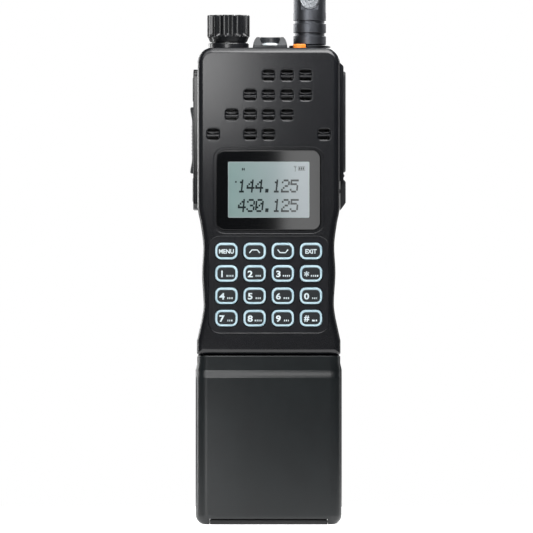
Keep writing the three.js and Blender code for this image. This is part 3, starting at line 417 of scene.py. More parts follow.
# Glass epoxy with green solder resist: glossy, weave just visible
circuitResist = mouldedMaterial("solderResist", ("#143f2a", "#1d5a3b"), 0.3, grain=0.6, depth=0.01, coat=0.6)
cellWrap = mouldedMaterial("shrinkWrap", ("#234f8c", "#2f66ab"), 0.3, grain=1.4, depth=0.01, coat=0.3)

# Aluminium, turned and hard anodised black: fine rings, dark metallic sheen
anodised = metalMaterial("blackAnodised", ("#4b4d51", "#56585d"), 0.42, along="x", lineSize=0.3, stretch=9.0)
plainSteel = metalMaterial("zincSteel", ("#8f9296", "#aeb1b5"), 0.3, along="x")
darkSteel = metalMaterial("blackSteel", ("#2b2c2e", "#3a3c3f"), 0.35, along="x")
brass = metalMaterial("nickelBrass", ("#a58443", "#c7a55c"), 0.28, along="z")
tinned = metalMaterial("tinnedSteel", ("#a6a9ad", "#c0c3c7"), 0.34, along="z")
castMetal = metalMaterial("castAluminium", ("#84878b", "#9da0a4"), 0.52, along="z", lineSize=0.9, stretch=1.0,
                          depth=0.05)
speakerMetal = metalMaterial("speakerFrame", ("#55585c", "#74777b"), 0.42, along="z")

# Acrylic window: black print under a clear glossy sheet
blackWindow = glossMaterial("blackWindow", ("#040506", "#08090b"), rough=0.35, coatRough=0.05, specular=0.0)
# Liquid crystal behind the window: grey-green reflector, with painted light: lighter to the right, where the
# room lights it
liquidCrystal = glossMaterial("liquidCrystal", ("#6a807e", "#748a87"), rough=0.5, coatRough=0.06,
                              paintedLightShift=("#868c90", -22.0, 22.0))
crystalRim = glossMaterial("crystalRim", ("#7c8888", "#899495"), rough=0.5, coatRough=0.06)
crystalInk = glossMaterial("crystalInk", ("#0c1516", "#121c1d"), rough=0.5, coatRough=0.06)
clearPlastic = glossMaterial("clearLens", ("#aeb4b8", "#ced3d6"), rough=0.12, coatRough=0.03, drift=3.0)
print("materials made")

# Front and rear casing

front = placeOf("front_case")
rear = placeOf("rear_case")
lens = placeOf("lcd_lens")
knobPlace = placeOf("volume_knob")
antennaPlace = placeOf("antenna_base")
alarmPlace = placeOf("alarm_button")
jackPlace = placeOf("jack_block")
sidePlates = [placeOf(n) for n in ("ptt_bar", "upper_side_key", "lower_side_key")]
faceY, footZ, topZ, splitY = front.y0, front.z0, rear.z1, (front.y1 + rear.y0) / 2

casing = {
    "half": 35.6, "cornerRadius": 7.5, "footRadius": 1.1, "edgeRadius": 3.2, "wall": 3.0,
    # height above the foot, and how far the side lies inside the full half width
    "sideLine": [(7.25, -0.3), (15, 1.4), (20, 2.4), (26.5, 3), (41, 2.2), (54.5, 2.8), (65, 1.6), (70, 0.6),
                 (73.5, 0)],
    "lipGrow": 1.65, "lipCorner": 6.0, "lipDepth": 0.5, "lensCorner": 4.3, "lensRoom": 0.3,
    "padMargin": 3.15, "padCorner": 5.5, "padDepth": 0.6,
    "portWidth": 7.0, "portHeight": 6.7, "portCorner": 1.6, "portDepth": 1.9, "portMouth": 0.65,
    "portPitchX": 9.25, "portPitchZ": 9.85, "portTop": 13.85,
    "portRows": [(0, 1, 2), (-1, 0, 1, 2), (-2, -1, 0, 1), (-3, -1, 0, 3)],
    "slotHeight": 1.35, "slotWidth": 5.4, "slotOffset": 1.95, "seatRadius": 10.2,
    "sideOpening": 6.8, "shaftHole": 3.5, "antennaHole": 4.7, "alarmHole": 3.55, "screwHole": 1.55,
    "windowWidth": 44, "windowHeight": 32, "keyRoom": 0.25, "fit": 0.3,
}


# Points of a smooth curve through the side stations
def sideCurve(stations, steps=5):
    points = []
    for i in range(len(stations) - 1):
        p = [stations[max(0, min(len(stations) - 1, i + k))] for k in (-1, 0, 1, 2)]
        for s in range(steps):
            t = s / steps
            points.append(tuple(0.5 * (2 * p[1][c] + (p[2][c] - p[0][c]) * t
                                       + (2 * p[0][c] - 5 * p[1][c] + 4 * p[2][c] - p[3][c]) * t * t
                                       + (3 * p[1][c] - p[0][c] - 3 * p[2][c] + p[3][c]) * t ** 3)
                                for c in (0, 1)))
    return points + [stations[-1]]


sidePoints = sideCurve(casing["sideLine"])


# The casing seen from the front, drawn inside its outline by inset
def casingShape(inset):
    half = casing["half"] - inset
    corner = max(casing["cornerRadius"] - inset, 0.2)
    foot = max(casing["footRadius"] - 0.3 * inset, 0.2)
    footHalf = half - casing["sideLine"][0][1]
    right = []
    for i in range(5):
        a = math.radians(-90 + 90 * i / 4)
        right.append((footHalf - foot + foot * math.cos(a), footZ + inset + foot + foot * math.sin(a)))
    right += [(half - inside, footZ + rise) for rise, inside in sidePoints]
    for i in range(13):
        a = math.radians(90 * i / 12)
        right.append((half - corner + corner * math.cos(a), topZ - inset - corner + corner * math.sin(a)))
    return right + [(-x, z) for x, z in reversed(right)]


# Cutter for a pocket in the front face with a rounded mouth and a small radius at its floor
def pocket(shape, floorY, mouth, foot):
    arc = [(-mouth * (1 - sinOf(90 * i / 4)), faceY + mouth * (1 - cosOf(90 * i / 4))) for i in range(5)]
    return loft("y", shape, [(-mouth, faceY - 1)] + arc + [
        (0, floorY - foot), (0.3 * foot, floorY - 0.3 * foot), (foot, floorY)])


keyRows = [["key_menu", "key_up", "key_down", "key_exit"], ["key_1", "key_2", "key_3", "key_star"],
           ["key_4", "key_5", "key_6", "key_0"], ["key_7", "key_8", "key_9", "key_hash"]]
keyNames = [name for row in keyRows for name in row]
keySize = {"width": 11.15, "height": 8.2, "corner": 3.0}
keyPlaces = {name: placeOf(name) for name in keyNames}
padX = [keyPlaces[n].x for n in keyNames]
padZ = [keyPlaces[n].z for n in keyNames]
padWidth = max(padX) - min(padX) + keySize["width"] + 2 * casing["padMargin"]
padHeight = max(padZ) - min(padZ) + keySize["height"] + 2 * casing["padMargin"]
padMiddle = (max(padZ) + min(padZ)) / 2
padFloor = faceY + casing["padDepth"]
portPlaces = [(c * casing["portPitchX"], topZ - casing["portTop"] - row * casing["portPitchZ"])
              for row, columns in enumerate(casing["portRows"]) for c in columns]

shell = objectFrom("frontShell", meshFrom("frontShell", [loft(
    "y", casingShape, [(0, splitY - 0.15)] + [(0, faceY + k) for k in (20, 10)]
    + quarterRound(casing["edgeRadius"], faceY, 8))], [casingPlastic, recessPlastic]))
seatRadius, seatInner = casing["seatRadius"], 8.8
seatProfile = fromLevel(topZ, (0, -2), (seatRadius, -2))
seatProfile += fromLevel(front.z1, (seatRadius, -0.6), (seatRadius - 0.2, -0.2), (seatRadius - 0.6, 0),
                         (seatInner, 0))
seatProfile += fromLevel(knobPlace.z0, (seatInner, -0.12), (0, -0.12))
seat = solidObject("seat", [turned("z", (knobPlace.x, knobPlace.y), seatProfile, 72)], casingPlastic)
joiner = shell.modifiers.new("seat", "BOOLEAN")
joiner.operation, joiner.solver, joiner.object = "UNION", "EXACT", seat
settle(shell)
bpy.data.objects.remove(seat)

cavity = loft("y", casingShape, [(casing["wall"], faceY + casing["wall"]), (casing["wall"], splitY + 5)])
padPocket = pocket(rectShape(padWidth, padHeight, casing["padCorner"], 0, padMiddle, 10), padFloor, 0.5, 0.1)
lipPocket = pocket(rectShape(lens.w + 2 * casing["lipGrow"], lens.h + 2 * casing["lipGrow"],
                             casing["lipCorner"], 0, lens.z, 10), faceY + casing["lipDepth"], 0.3, 0.08)
room = casing["lensRoom"]
lensPocket = loft("y", rectShape(lens.w + 2 * room, lens.h + 2 * room, casing["lensCorner"], 0, lens.z, 10),
                  [(0, faceY - 1), (0, lens.y1 + room)])
windowCut = loft("y", rectShape(casing["windowWidth"], casing["windowHeight"], 1, 0, lens.z),
                 [(0, faceY), (0, faceY + 5)])
gap = casing["keyRoom"]
keyHoles = [loft("y", rectShape(keySize["width"] + 2 * gap, keySize["height"] + 2 * gap, keySize["corner"]
                                + gap,
                                keyPlaces[n].x, keyPlaces[n].z),
                 [(-gap, padFloor - 1), (-gap, padFloor), (0, padFloor + gap), (0, faceY + 5)])
            for n in keyNames]
portCuts = [pocket(rectShape(casing["portWidth"] - 1.0, casing["portHeight"] - 1.0, casing["portCorner"], x,
                             z, 4),
                   faceY + casing["portDepth"], casing["portMouth"], 0.3) for x, z in portPlaces]
slotCuts = [loft("y", rectShape(casing["slotWidth"], casing["slotHeight"], 0.5, x, level, 2),
                 [(0, faceY + 1), (0, faceY + 5)])
            for x, z in portPlaces for level in (z - casing["slotOffset"], z + casing["slotOffset"])]
sideCuts = [boxSolid(-60, -20, -casing["sideOpening"], casing["sideOpening"], p.z0 + 0.6, p.z1 - 0.6)
            for p in sidePlates]
fit = casing["fit"]
jackCut = boxSolid(20, 60, jackPlace.y0 - fit, jackPlace.y1 + fit, jackPlace.z0 - fit, jackPlace.z1 + fit)
roofCuts = [rod("z", (knobPlace.x, knobPlace.y), casing["shaftHole"], topZ - 10, topZ + 9),
            rod("z", (antennaPlace.x, antennaPlace.y), casing["antennaHole"], topZ - 10, topZ + 9),
            turned("z", (alarmPlace.x, alarmPlace.y), fromLevel(
                topZ, (0, -10), (casing["alarmHole"], -10), (casing["alarmHole"], -0.4),
                (casing["alarmHole"] + 0.4, 0), (casing["alarmHole"] + 0.4, 2), (0, 2)), 32)]
cutAway(shell, [[cavity], [padPocket, lipPocket] + portCuts, [lensPocket] + keyHoles + slotCuts, [windowCut],
                sideCuts + [jackCut], roofCuts])
for polygon in shell.data.polygons:
    middle = polygon.center / mm
    inPad = abs(middle.x) < padWidth / 2 and abs(middle.z - padMiddle) < padHeight / 2
    if inPad and abs(middle.y - padFloor) < 0.05:
        polygon.material_index = 1
finishEdges(shell, angle=35)
print("front casing cut:", len(shell.data.polygons), "faces")


# A geometry node group with named inputs and one geometry output
def newTree(name, result, inputs):
    tree = bpy.data.node_groups.new(name, "GeometryNodeTree")
    for label, kind, value in inputs:
        socket = tree.interface.new_socket(label, in_out="INPUT", socket_type="NodeSocket" + kind)
        if value is not None:
            socket.default_value = value
    tree.interface.new_socket(result, in_out="OUTPUT", socket_type="NodeSocketGeometry")
    return tree, addNode(tree, "NodeGroupInput")


# Ends a tree: real mesh in one material
def closeTree(tree, geometry, given, result):
    real = addNode(tree, "GeometryNodeRealizeInstances", {"Geometry": geometry})
    painted = addNode(tree, "GeometryNodeSetMaterial", {"Geometry": real,
        "Material": given.outputs["Finish"]})
    addNode(tree, "NodeGroupOutput", {result: painted})
    return tree


# Runs a tree on an object, its inputs given by name, and keeps the mesh that it makes
def runTree(obj, tree, **values):
    modifier = obj.modifiers.new(tree.name, "NODES")
    modifier.node_group = tree
    for item in tree.interface.items_tree:
        if item.item_type == "SOCKET" and item.in_out == "INPUT" and item.name in values:
            modifier[item.identifier] = values[item.name]
    return settle(obj)


# Puts a copy of one object on every vertex of another
def scatterTree():
    tree, given = newTree("scatterCopies", "Copies", [
        ("Places", "Geometry", None), ("Shape", "Object", None), ("Finish", "Material", None)])
    shape = addNode(tree, "GeometryNodeObjectInfo", {"Object": given.outputs["Shape"]},
                    transform_space="ORIGINAL")
    points = addNode(tree, "GeometryNodeMeshToPoints", {"Mesh": given.outputs["Places"]})
    copies = addNode(tree, "GeometryNodeInstanceOnPoints", {
        "Points": points, "Instance": shape.outputs["Geometry"]})
    return closeTree(tree, copies, given, "Copies")


scatterCopies = scatterTree()


def scatter(name, solids, places, material):
    shape = solidObject(name + "Shape", solids, material)
    mesh = bpy.data.meshes.new(name)
    mesh.from_pydata([tuple(c * mm for c in p) for p in places], [], [])
    obj = runTree(objectFrom(name, mesh), scatterCopies, Shape=shape, Finish=material)
    bpy.data.objects.remove(shape)
    return obj


# Louvre bar across each sound port: a wavy upper edge over a dark wedge, a flat bar, and a lower ledge
louvre = {"half": 3.2, "front": 0.15, "back": 1.95, "crest": 0.85, "bar": 1.0, "dip": 0.5, "curl": 0.75}


def louvreSolid():
    columns = 15
    rings = []
    for i in range(columns):
        u = -1 + 2 * i / (columns - 1)
        dip = louvre["dip"] * math.exp(-((u + 0.12) / 0.16) ** 2)
        curl = louvre["curl"] * max(0.0, abs(u) - 0.62) / 0.38
        crest = louvre["crest"] + curl - dip
        x = u * louvre["half"]
        rings.append([(x, louvre["back"], crest + 0.25), (x, louvre["front"] + 0.5, crest + 0.1),
                      (x, louvre["front"] + 0.1, crest), (x, louvre["front"] + 0.1, crest - 0.22),
                      (x, louvre["front"] + 1.3, crest - 0.5), (x, louvre["front"] + 0.6, -0.1),
                      (x, louvre["front"] + 0.3, -0.35), (x, louvre["front"] + 0.3, -louvre["bar"]),
                      (x, louvre["back"], -louvre["bar"] - 0.1)])
    verts = [p for ring in rings for p in ring]
    n = len(rings[0])
    faces = [(k * n + i, k * n + (i + 1) % n, (k + 1) * n + (i + 1) % n, (k + 1) * n + i)
             for k in range(columns - 1) for i in range(n)]
    return verts, faces + [tuple(range(n)), tuple(range((columns - 1) * n, columns * n))]


# Raised rim round the jack cover, sloping off at the top; its rear wall belongs to the rear half
def rimSolid(y0, y1, z0, z1):
    half = casing["half"]
    outline = fromLevel(z0, (half - 1.2, 0), (half + 1.5, 0), (half + 1.9, 0.4)) + fromLevel(z1,
        (half + 1.9, -2.2), (half + 1.6, -1.5), (half, 0), (half - 1.2, 0))
    return loft("y", lambda inset: outline, [(0, y0), (0, y1)])


coverPlace, rimTop = placeOf("jack_cover"), 231.2
rimFront = rimSolid(coverPlace.y0 - 1.9, coverPlace.y0 - 0.35, coverPlace.z0 - 1.5, rimTop)
rimRoof = rimSolid(coverPlace.y0 - 0.4, splitY - 0.15, coverPlace.z1 + 0.5, rimTop)
rim = solidObject("coverRim", [rimFront, rimRoof], recessPlastic)
finishEdges(rim, 0.15, angle=35)
bars = scatter("portBars", [louvreSolid()], [(x, faceY, z) for x, z in portPlaces], casingPlastic)
finishEdges(bars, 0.14, angle=40)
setPiece(joinMeshes("frontCase", [shell, rim, bars]), "casing", "front_case")

# Rear half: the same outline, rounded at the back edge, with wells for the screw heads and the latch slot
rearShell = solidObject("rearShell", [loft(
    "y", casingShape, [(0, splitY + 0.15), (0, splitY + 3)]
    + quarterRound(casing["edgeRadius"], rear.y1, 8, -1))], casingPlastic)
screwPlaces = [placeOf("case_screw_left"), placeOf("case_screw_right")]
latchPlace = placeOf("battery_latch")
screwWells = [turned("y", (p.x, p.z), fromLevel(rear.y1, (0, -2), (2.8, -2), (2.8, -0.4), (3.2, 0), (3.2, 1),
    (0, 1)), 32) for p in screwPlaces]
screwShafts = [rod("y", (p.x, p.z), casing["screwHole"], 0, 30, 16) for p in screwPlaces]
cutAway(rearShell, [
    [loft("y", casingShape, [(casing["wall"], 0), (casing["wall"], rear.y1 - casing["wall"])])],
    [boxSolid(-5.6, 5.6, 14.0, 17.2, footZ - 1, footZ + 4)], screwWells, screwShafts,
    # three shallow grip grooves on each side of the clip
    [loft("y", rectShape(1.6, 46, 0.8, s * (20.5 + 3.4 * k), 178),
          fromLevel(rear.y1, (-0.4, 1), (-0.4, 0), (0.3, -0.7)))
     for s in (-1, 1) for k in range(3)]])
finishEdges(rearShell, angle=35)
rearRim = solidObject("rearRim", [rimSolid(splitY + 0.15, splitY + 1.4, coverPlace.z0 - 1.5, rimTop)],
                      recessPlastic)
finishEdges(rearRim, 0.15, angle=35)
setPiece(joinMeshes("rearCase", [rearShell, rearRim]), "casing", "rear_case")
print("casing done")


# Lettering

inkThick = 0.03


# Text as a thin solid that faces the front, centred on (x, z), cap height in millimetres
def textSolid(words, height, x, z, y, bold, stretch):
    curve = bpy.data.curves.new("words", "FONT")
    curve.body, curve.size, curve.extrude = words, 1.0, 0.01
    curve.offset, curve.resolution_u = bold, 3
    curve.align_x = "LEFT"
    obj = objectFrom("words", curve)
    depsgraph = bpy.context.evaluated_depsgraph_get()
    mesh = bpy.data.meshes.new_from_object(obj.evaluated_get(depsgraph), depsgraph=depsgraph)
    bpy.data.objects.remove(obj)
    bm = bmesh.new()
    bm.from_mesh(mesh)
    bmesh.ops.remove_doubles(bm, verts=bm.verts, dist=1e-5)
    bm.verts.index_update()
    points = [v.co.copy() for v in bm.verts]
    faces = [tuple(v.index for v in f.verts) for f in bm.faces]
    bm.free()
    low = Vector((min(p.x for p in points), min(p.y for p in points)))
    high = Vector((max(p.x for p in points), max(p.y for p in points)))
    scale = height / (high.y - low.y)
    verts = [(x + (p.x - (low.x + high.x) / 2) * scale * stretch, y - (p.z + 0.01) / 0.02 * inkThick,
              z + (p.y - (low.y + high.y) / 2) * scale) for p in points]
    return verts, faces


# A thin line of even width along points in the front view
def strokeSolid(points, width, y, thick=inkThick):
    verts, faces = [], []
    for i, (px, pz) in enumerate(points):
        a, b = points[max(i - 1, 0)], points[min(i + 1, len(points) - 1)]
        dx, dz = b[0] - a[0], b[1] - a[1]
        size = math.hypot(dx, dz) or 1.0
        ox, oz = -dz / size * width / 2, dx / size * width / 2
        verts += [(px + ox, y, pz + oz), (px - ox, y, pz - oz), (px - ox, y - thick, pz - oz),
                  (px + ox, y - thick, pz + oz)]
    for i in range(len(points) - 1):
        faces += [(4 * i + k, 4 * i + (k + 1) % 4, 4 * i + 4 + (k + 1) % 4, 4 * i + 4 + k) for k in range(4)]
    last = 4 * (len(points) - 1)
    return verts, faces + [(0, 1, 2, 3), (last, last + 1, last + 2, last + 3)]


def slabSolid(x0, x1, z0, z1, y, thick=inkThick):
    verts = [(x, yy, z) for yy in (y, y - thick) for x, z in ((x0, z0), (x1, z0), (x1, z1), (x0, z1))]
    return verts, [(0, 1, 2, 3), (4, 5, 6, 7), (0, 1, 5, 4), (1, 2, 6, 5), (2, 3, 7, 6), (3, 0, 4, 7)]


# Keypad

keys = {
    "rim": 1.05, "faceDrop": 0.12, "flange": 0.9, "digitHeight": 3.3, "digitX": -2.2, "digitZ": -0.25,
    "markHeight": 0.85, "markGap": 0.22, "markX": 1.9, "markZ": -1.2, "wordHeight": 2.25, "bold": 0.03,
    # the digit, and the widths of the plain marks that stand for a second function
    "legends": {"key_1": ("1", (0.8, 0.7, 0.7, 0.8)), "key_2": ("2", (0.7, 0.8, 0.8)),
                "key_3": ("3", (0.8, 0.8, 0.8, 0.7)),
                "key_star": ("*", (0.8, 0.8, 0.8, 0.9)), "key_4": ("4", (0.8, 0.8, 0.9)),
                "key_5": ("5", (0.8, 0.7, 0.8)),
                "key_6": ("6", (0.8, 0.8, 0.9)), "key_0": ("0", (0.8, 0.8, 0.6)),
                "key_7": ("7", (0.7, 0.7, 0.9)),
                "key_8": ("8", (0.8, 0.7, 0.7, 0.8)), "key_9": ("9", (0.7, 0.8, 0.6)),
                "key_hash": ("#", (1.6, 0.9))},
}
for name in keyNames:
    p = keyPlaces[name]
    x, z, top = p.x, p.z, p.y0
    width, height, corner, rim = keySize["width"], keySize["height"], keySize["corner"], keys["rim"]
    cap = loft("y", rectShape(width, height, corner, x, z, 7),
               fromLevel(p.y1, (-keys["flange"], 0), (-keys["flange"], -0.8), (0, -0.8))
               + fromLevel(top, (0, 0.45), (0.06, 0.2), (0.2, 0.06), (0.42, 0), (rim - 0.2, 0),
                           (rim - 0.05, 0.1), (rim, 0.3)))
    dark = loft("y", rectShape(width - 2 * rim - 0.1, height - 2 * rim - 0.1, corner - rim, x,
                               z - keys["faceDrop"], 7), fromLevel(top, (0, 0.4), (0, 0.08), (0.08, 0),
                                   (0.25, -0.05), (1.2, -0.09), (2.4, -0.1)))
    ink = top - 0.1
    if name in ("key_up", "key_down"):
        s = 1 if name == "key_up" else -1
        line = [(-2.6, -0.85), (-1.35, 0.7), (1.35, 0.7), (2.6, -0.85)]
        legend = [strokeSolid([(x + a, z + s * b - 0.1) for a, b in line], 0.55, ink)]
    elif name in ("key_menu", "key_exit"):
        legend = [textSolid({"key_menu": "MENU", "key_exit": "EXIT"}[name], keys["wordHeight"], x, z - 0.15,
                            ink, bold=keys["bold"], stretch=0.92)]
    else:
        digit, widths = keys["legends"][name]
        tall = keys["digitHeight"] * (0.95 if digit == "#" else 1.0)
        wide = 1.0 if digit in "1#" else 1.2
        atX, atZ = x + keys["digitX"], z + keys["digitZ"]
        if digit == "*":
            arms = [(1.35 * cosOf(a), 1.35 * sinOf(a)) for a in (90, 30, 150)]
            legend = [strokeSolid([(atX - a, atZ - b), (atX + a, atZ + b)], 0.5, ink) for a, b in arms]
        else:
            legend = [textSolid(digit, tall, atX, atZ, ink, bold=keys["bold"], stretch=wide)]
        gap = keys["markGap"]
        at = x + keys["markX"] - (sum(widths) + gap * (len(widths) - 1)) / 2
        for w in widths:
            low = z + keys["markZ"] - keys["markHeight"] / 2
            legend.append(slabSolid(at, at + w - 0.25, low, low + keys["markHeight"], ink))
            at += w + gap
    solids = [cap, dark] + legend
    obj = objectFrom(name, meshFrom(name, solids, [keyRim, keyRubber, legendInk], [0, 1] + [2] * len(legend)))
    finishEdges(obj, angle=50)
    setPiece(obj, "key_rubber", name)
print("keypad done")


# Display window

# Dot rows of the display's figures, top row first
figures = {
    "0": "01110 10001 10011 10101 11001 10001 01110", "1": "00100 01100 00100 00100 00100 00100 01110",
    "2": "01110 10001 00001 00110 01000 10000 11111", "3": "01110 10001 00001 00110 00001 10001 01110",
    "4": "00010 00110 01010 10010 11111 00010 00010", "5": "11111 10000 11110 00001 00001 10001 01110",
    ".": "00000 00000 00000 00000 00000 01100 01100",}
window = {
    "areaWidth": 40.7, "areaHeight": 28.0, "areaLift": 0.25, "rim": 0.45, "pitch": 4.35, "firstX": -15.4,
    "dotWidth": 0.8, "dotHeight": 0.93, "slant": 0.1, "lines": (("144.125", 169.25), ("430.125", 159.5)),
    # small marks: bars (x from, x to, z from, z to) and strokes (points, width)
    "bars": [(-16.8, -16.0, 170.9, 171.7), (-13.4, -12.9, 177.0, 178.3), (-12.5, -12.0, 177.0, 178.3),
             (-13.0, -12.4, 177.5, 177.8)], "strokes": [([(13.3, 176.5), (13.3, 179.1)], 0.22),
                 ([(12.6, 179.2), (13.3, 178.1), (14.0, 179.2), (12.6, 179.2)], 0.2),
                 ([(14.8, 177.1), (18.1, 177.1), (18.1, 178.9), (14.8, 178.9), (14.8, 177.1)], 0.2)],
    "charge": [(15.1 + 0.95 * k, 15.75 + 0.95 * k, 177.4, 178.6) for k in range(3)], "inkThick": 0.004,}
areaZ = lens.z + window["areaLift"]
glass = loft("y", rectShape(lens.w, lens.h, 4.0, 0, lens.z, 10), [(0, lens.y1)]
             + quarterRound(0.35, lens.y0, 4))
skin = lens.y0
areaRim = loft("y", rectShape(window["areaWidth"], window["areaHeight"], 0.5, 0, areaZ, 2),
               [(0, skin + 0.1), (0, skin - 0.004)])
area = loft("y", rectShape(window["areaWidth"] - 2 * window["rim"], window["areaHeight"] - 2 * window["rim"],
                           0.3, 0, areaZ, 2), [(0, skin + 0.1), (0, skin - 0.008)])
dots = []
for words, middle in window["lines"]:
    for k, letter in enumerate(words):
        left = window["firstX"] + k * window["pitch"]
        for row, line in enumerate(figures[letter].split()):
            z1 = middle + (3.5 - row) * window["dotHeight"]
            start = None
            for column, dot in enumerate(line + "0"):
                if dot == "1" and start is None:
                    start = column
                elif dot == "0" and start is not None:
                    lean = window["slant"] * (z1 - middle)
                    dots.append(slabSolid(left + lean + start * window["dotWidth"], left + lean
                                          + column * window["dotWidth"] + 0.02,
                                          z1 - window["dotHeight"] - 0.02, z1, skin - 0.008, 0.004))
                    start = None
ink = skin - 0.008
dots += [slabSolid(*bar, ink, window["inkThick"]) for bar in window["bars"]]
dots += [strokeSolid(points, width, ink, window["inkThick"]) for points, width in window["strokes"]]
dots += [slabSolid(*bar, ink, window["inkThick"]) for bar in window["charge"]]
windowPiece = objectFrom("window", meshFrom("window", [glass, areaRim, area] + dots,
                                            [blackWindow, crystalRim, liquidCrystal, crystalInk],
                                            [0, 1, 2] + [3] * len(dots)))
setPiece(finishEdges(windowPiece, angle=50), "lens", "lcd_lens")
print("display done:", len(dots), "dots")


# Push-to-talk bar, side keys and their frame, on the left

sides = {"frameCorner": 4.0, "frameRound": 0.6, "keyHalf": 6.5, "pttEnd": 0.75, "ribs": 9, "ribPitch": 1.7,
         "flare": 0.95, "flareRun": 7.5, "openingDepth": 13.7, "plateDepth": 13.0}
sideFrame = placeOf("side_key_frame")
plate = solidObject("sidePlate", [loft(
    "x", rectShape(sideFrame.d, sideFrame.h, sides["frameCorner"], sideFrame.y, sideFrame.z, 8),
    [(0, sideFrame.x1 + 0.2), (0, sideFrame.x0 + 1.2)] + quarterRound(sides["frameRound"], sideFrame.x0, 4))],
                    casingPlastic)
windows = [loft("x", rectShape(sides["openingDepth"], p.h - 1.2, 0.8, 0, p.z, 3), [
    (-0.35, sideFrame.x0 - 1), (-0.35, sideFrame.x0), (-0.1, sideFrame.x0 + 0.1), (0, sideFrame.x0 + 0.35),
    (0, -20)]) for p in sidePlates]
cutAway(plate, [windows])
setPiece(finishEdges(plate, angle=40), "casing", "side_key_frame")

# The bar is bowed: it flares out towards its two ends
ptt = placeOf("ptt_bar")
low, high = ptt.z0 + 0.85, ptt.z1 - 0.85


def pttSection(station):
    tip, half = station
    inner = ptt.x1
    return [(inner, -half), (tip + 0.9, -half), (tip + 0.26, -half + 0.22), (tip, -half + 0.9),
            (tip - 0.12, -half * 0.45),
            (tip - 0.15, 0), (tip - 0.12, half * 0.45), (tip, half - 0.9), (tip + 0.26, half - 0.22),
            (tip + 0.9, half), (inner, half)]


stations = []
levels = [low, low + 0.12, low + 0.35, low + sides["pttEnd"]] + [
    low + sides["pttEnd"] + (high - low - 2 * sides["pttEnd"]) * k / 40 for k in range(1, 40)] + [
        high - sides["pttEnd"], high - 0.35, high - 0.12, high]
for level in levels:
    fromEnd = min(level - low, high - level)
    u = max(0.0, 1 - fromEnd / sides["flareRun"])
    tip = ptt.x0 + 0.15 + sides["flare"] * (1 - u * u * (3 - 2 * u))
    drop = sides["pttEnd"] * (1 - math.sqrt(max(0.0, 1 - (1 - min(fromEnd,
        sides["pttEnd"]) / sides["pttEnd"]) ** 2)))
    stations.append(((tip + drop, sides["keyHalf"] - 0.4 * drop), level))
bar = solidObject("pttBar", [loft("z", pttSection, stations)], sideRubber)
finishEdges(bar, angle=55)
ribShape = ribBar("y", 0.7, 0.62, 0.2, (0.15, 3.6), (0.05, 3.4), (0, 3.1))
ribs = scatter("pttRibs", [ribShape],
               [(ptt.x0 + 0.15 + sides["flare"], 0, ptt.z + (k - (sides["ribs"] - 1) / 2) * sides["ribPitch"])
                for k in range(sides["ribs"])], sideRubber)
finishEdges(ribs, angle=45)
setPiece(joinMeshes("ptt", [bar, ribs]), "side_key_rubber", "ptt_bar")

for name in ("upper_side_key", "lower_side_key"):
    p = placeOf(name)
    body = loft("x", rectShape(sides["plateDepth"], p.h - 1.8, 1.6, 0, p.z, 6), [
        (0, p.x1), (0, p.x0 + 0.7), (0.08, p.x0 + 0.4), (0.28, p.x0 + 0.16), (0.7, p.x0 + 0.03), (1.8, p.x0)])
    dish = [turned("x", (0, p.z), fromLevel(p.x0, (0, -1), (3.3, -1), (3.3, -0.02), (3.0, 0.12), (2.4, 0.28),
                                            (0, 0.36)), 36)]
    obj = solidObject(name, [body], sideRubber)
    cutAway(obj, [dish])
    # one raised dot on the upper key, two on the lower, to find them by touch
    bumps = scatter(name + "Dots", [turned("x", (0, 0), [(0, 0.5), (0.55, 0.5), (0.55, 0.1), (0.4, -0.12),
        (0, -0.2)], 16)],
                    [(p.x0 + 0.36, dy, p.z) for dy in ((0,) if name[0] == "u" else (-1.1, 1.1))], sideRubber)
    finishEdges(bumps, angle=60)
    finishEdges(obj, angle=45)
    setPiece(joinMeshes(name, [obj, bumps]), "side_key_rubber", name)
print("side keys done")


# Jack cover, anchor and screw, on the right

anchorPlace, coverScrew = placeOf("cover_anchor"), placeOf("cover_screw")
jackCover = {"corner": 3.0, "round": 0.7, "hingeRadius": 1.05, "panelDepth": 0.35, "gripWidth": 9.0}
flapLow, flapHigh = coverPlace.z0 + 2.85, coverPlace.z1
flap = solidObject("flap", [loft(
    "x", rectShape(coverPlace.d, flapHigh - flapLow, jackCover["corner"], 0, (flapLow + flapHigh) / 2, 8),
    [(0.2, coverPlace.x0), (0, coverPlace.x0 + 0.25), (0, coverPlace.x1 - 1)]
    + quarterRound(jackCover["round"], coverPlace.x1, 4, -1))], softRubber)
cutAway(flap, [
    # shallow panel, and a finger notch at the top edge
    [loft("x", rectShape(coverPlace.d - 5, flapHigh - flapLow - 11, 2.2, 0, (flapLow + flapHigh) / 2 - 1.5,
                         6),
          [(-0.3, coverPlace.x1 + 1), (-0.3, coverPlace.x1), (0.1, coverPlace.x1 - jackCover["panelDepth"]),
           (0.3, coverPlace.x1 - jackCover["panelDepth"] - 0.05)])],
    [loft("x", rectShape(jackCover["gripWidth"], 1.6, 0.7, 0, flapHigh - 2.6, 4),
          fromLevel(coverPlace.x1, (-0.25, 1), (-0.25, 0), (0.1, -0.7), (0.4, -0.8)))]])
finishEdges(flap, angle=40)
half = coverPlace.d / 2 - 2
hingeZ, hingeX = coverPlace.z0 + jackCover["hingeRadius"], coverPlace.x0 + jackCover["hingeRadius"]
hingeSolids = [turned("y", (hingeX, hingeZ), [
    (0, -half), (0.8, -half), (jackCover["hingeRadius"], -half + 0.25),
    (jackCover["hingeRadius"], half - 0.25), (0.8, half), (0, half)], 24),
               boxSolid(coverPlace.x0, hingeX + 0.6, -half + 0.2, half - 0.2, hingeZ, flapLow + 2)]
hinge = solidObject("hinge", hingeSolids, softRubber)
finishEdges(hinge, angle=50)
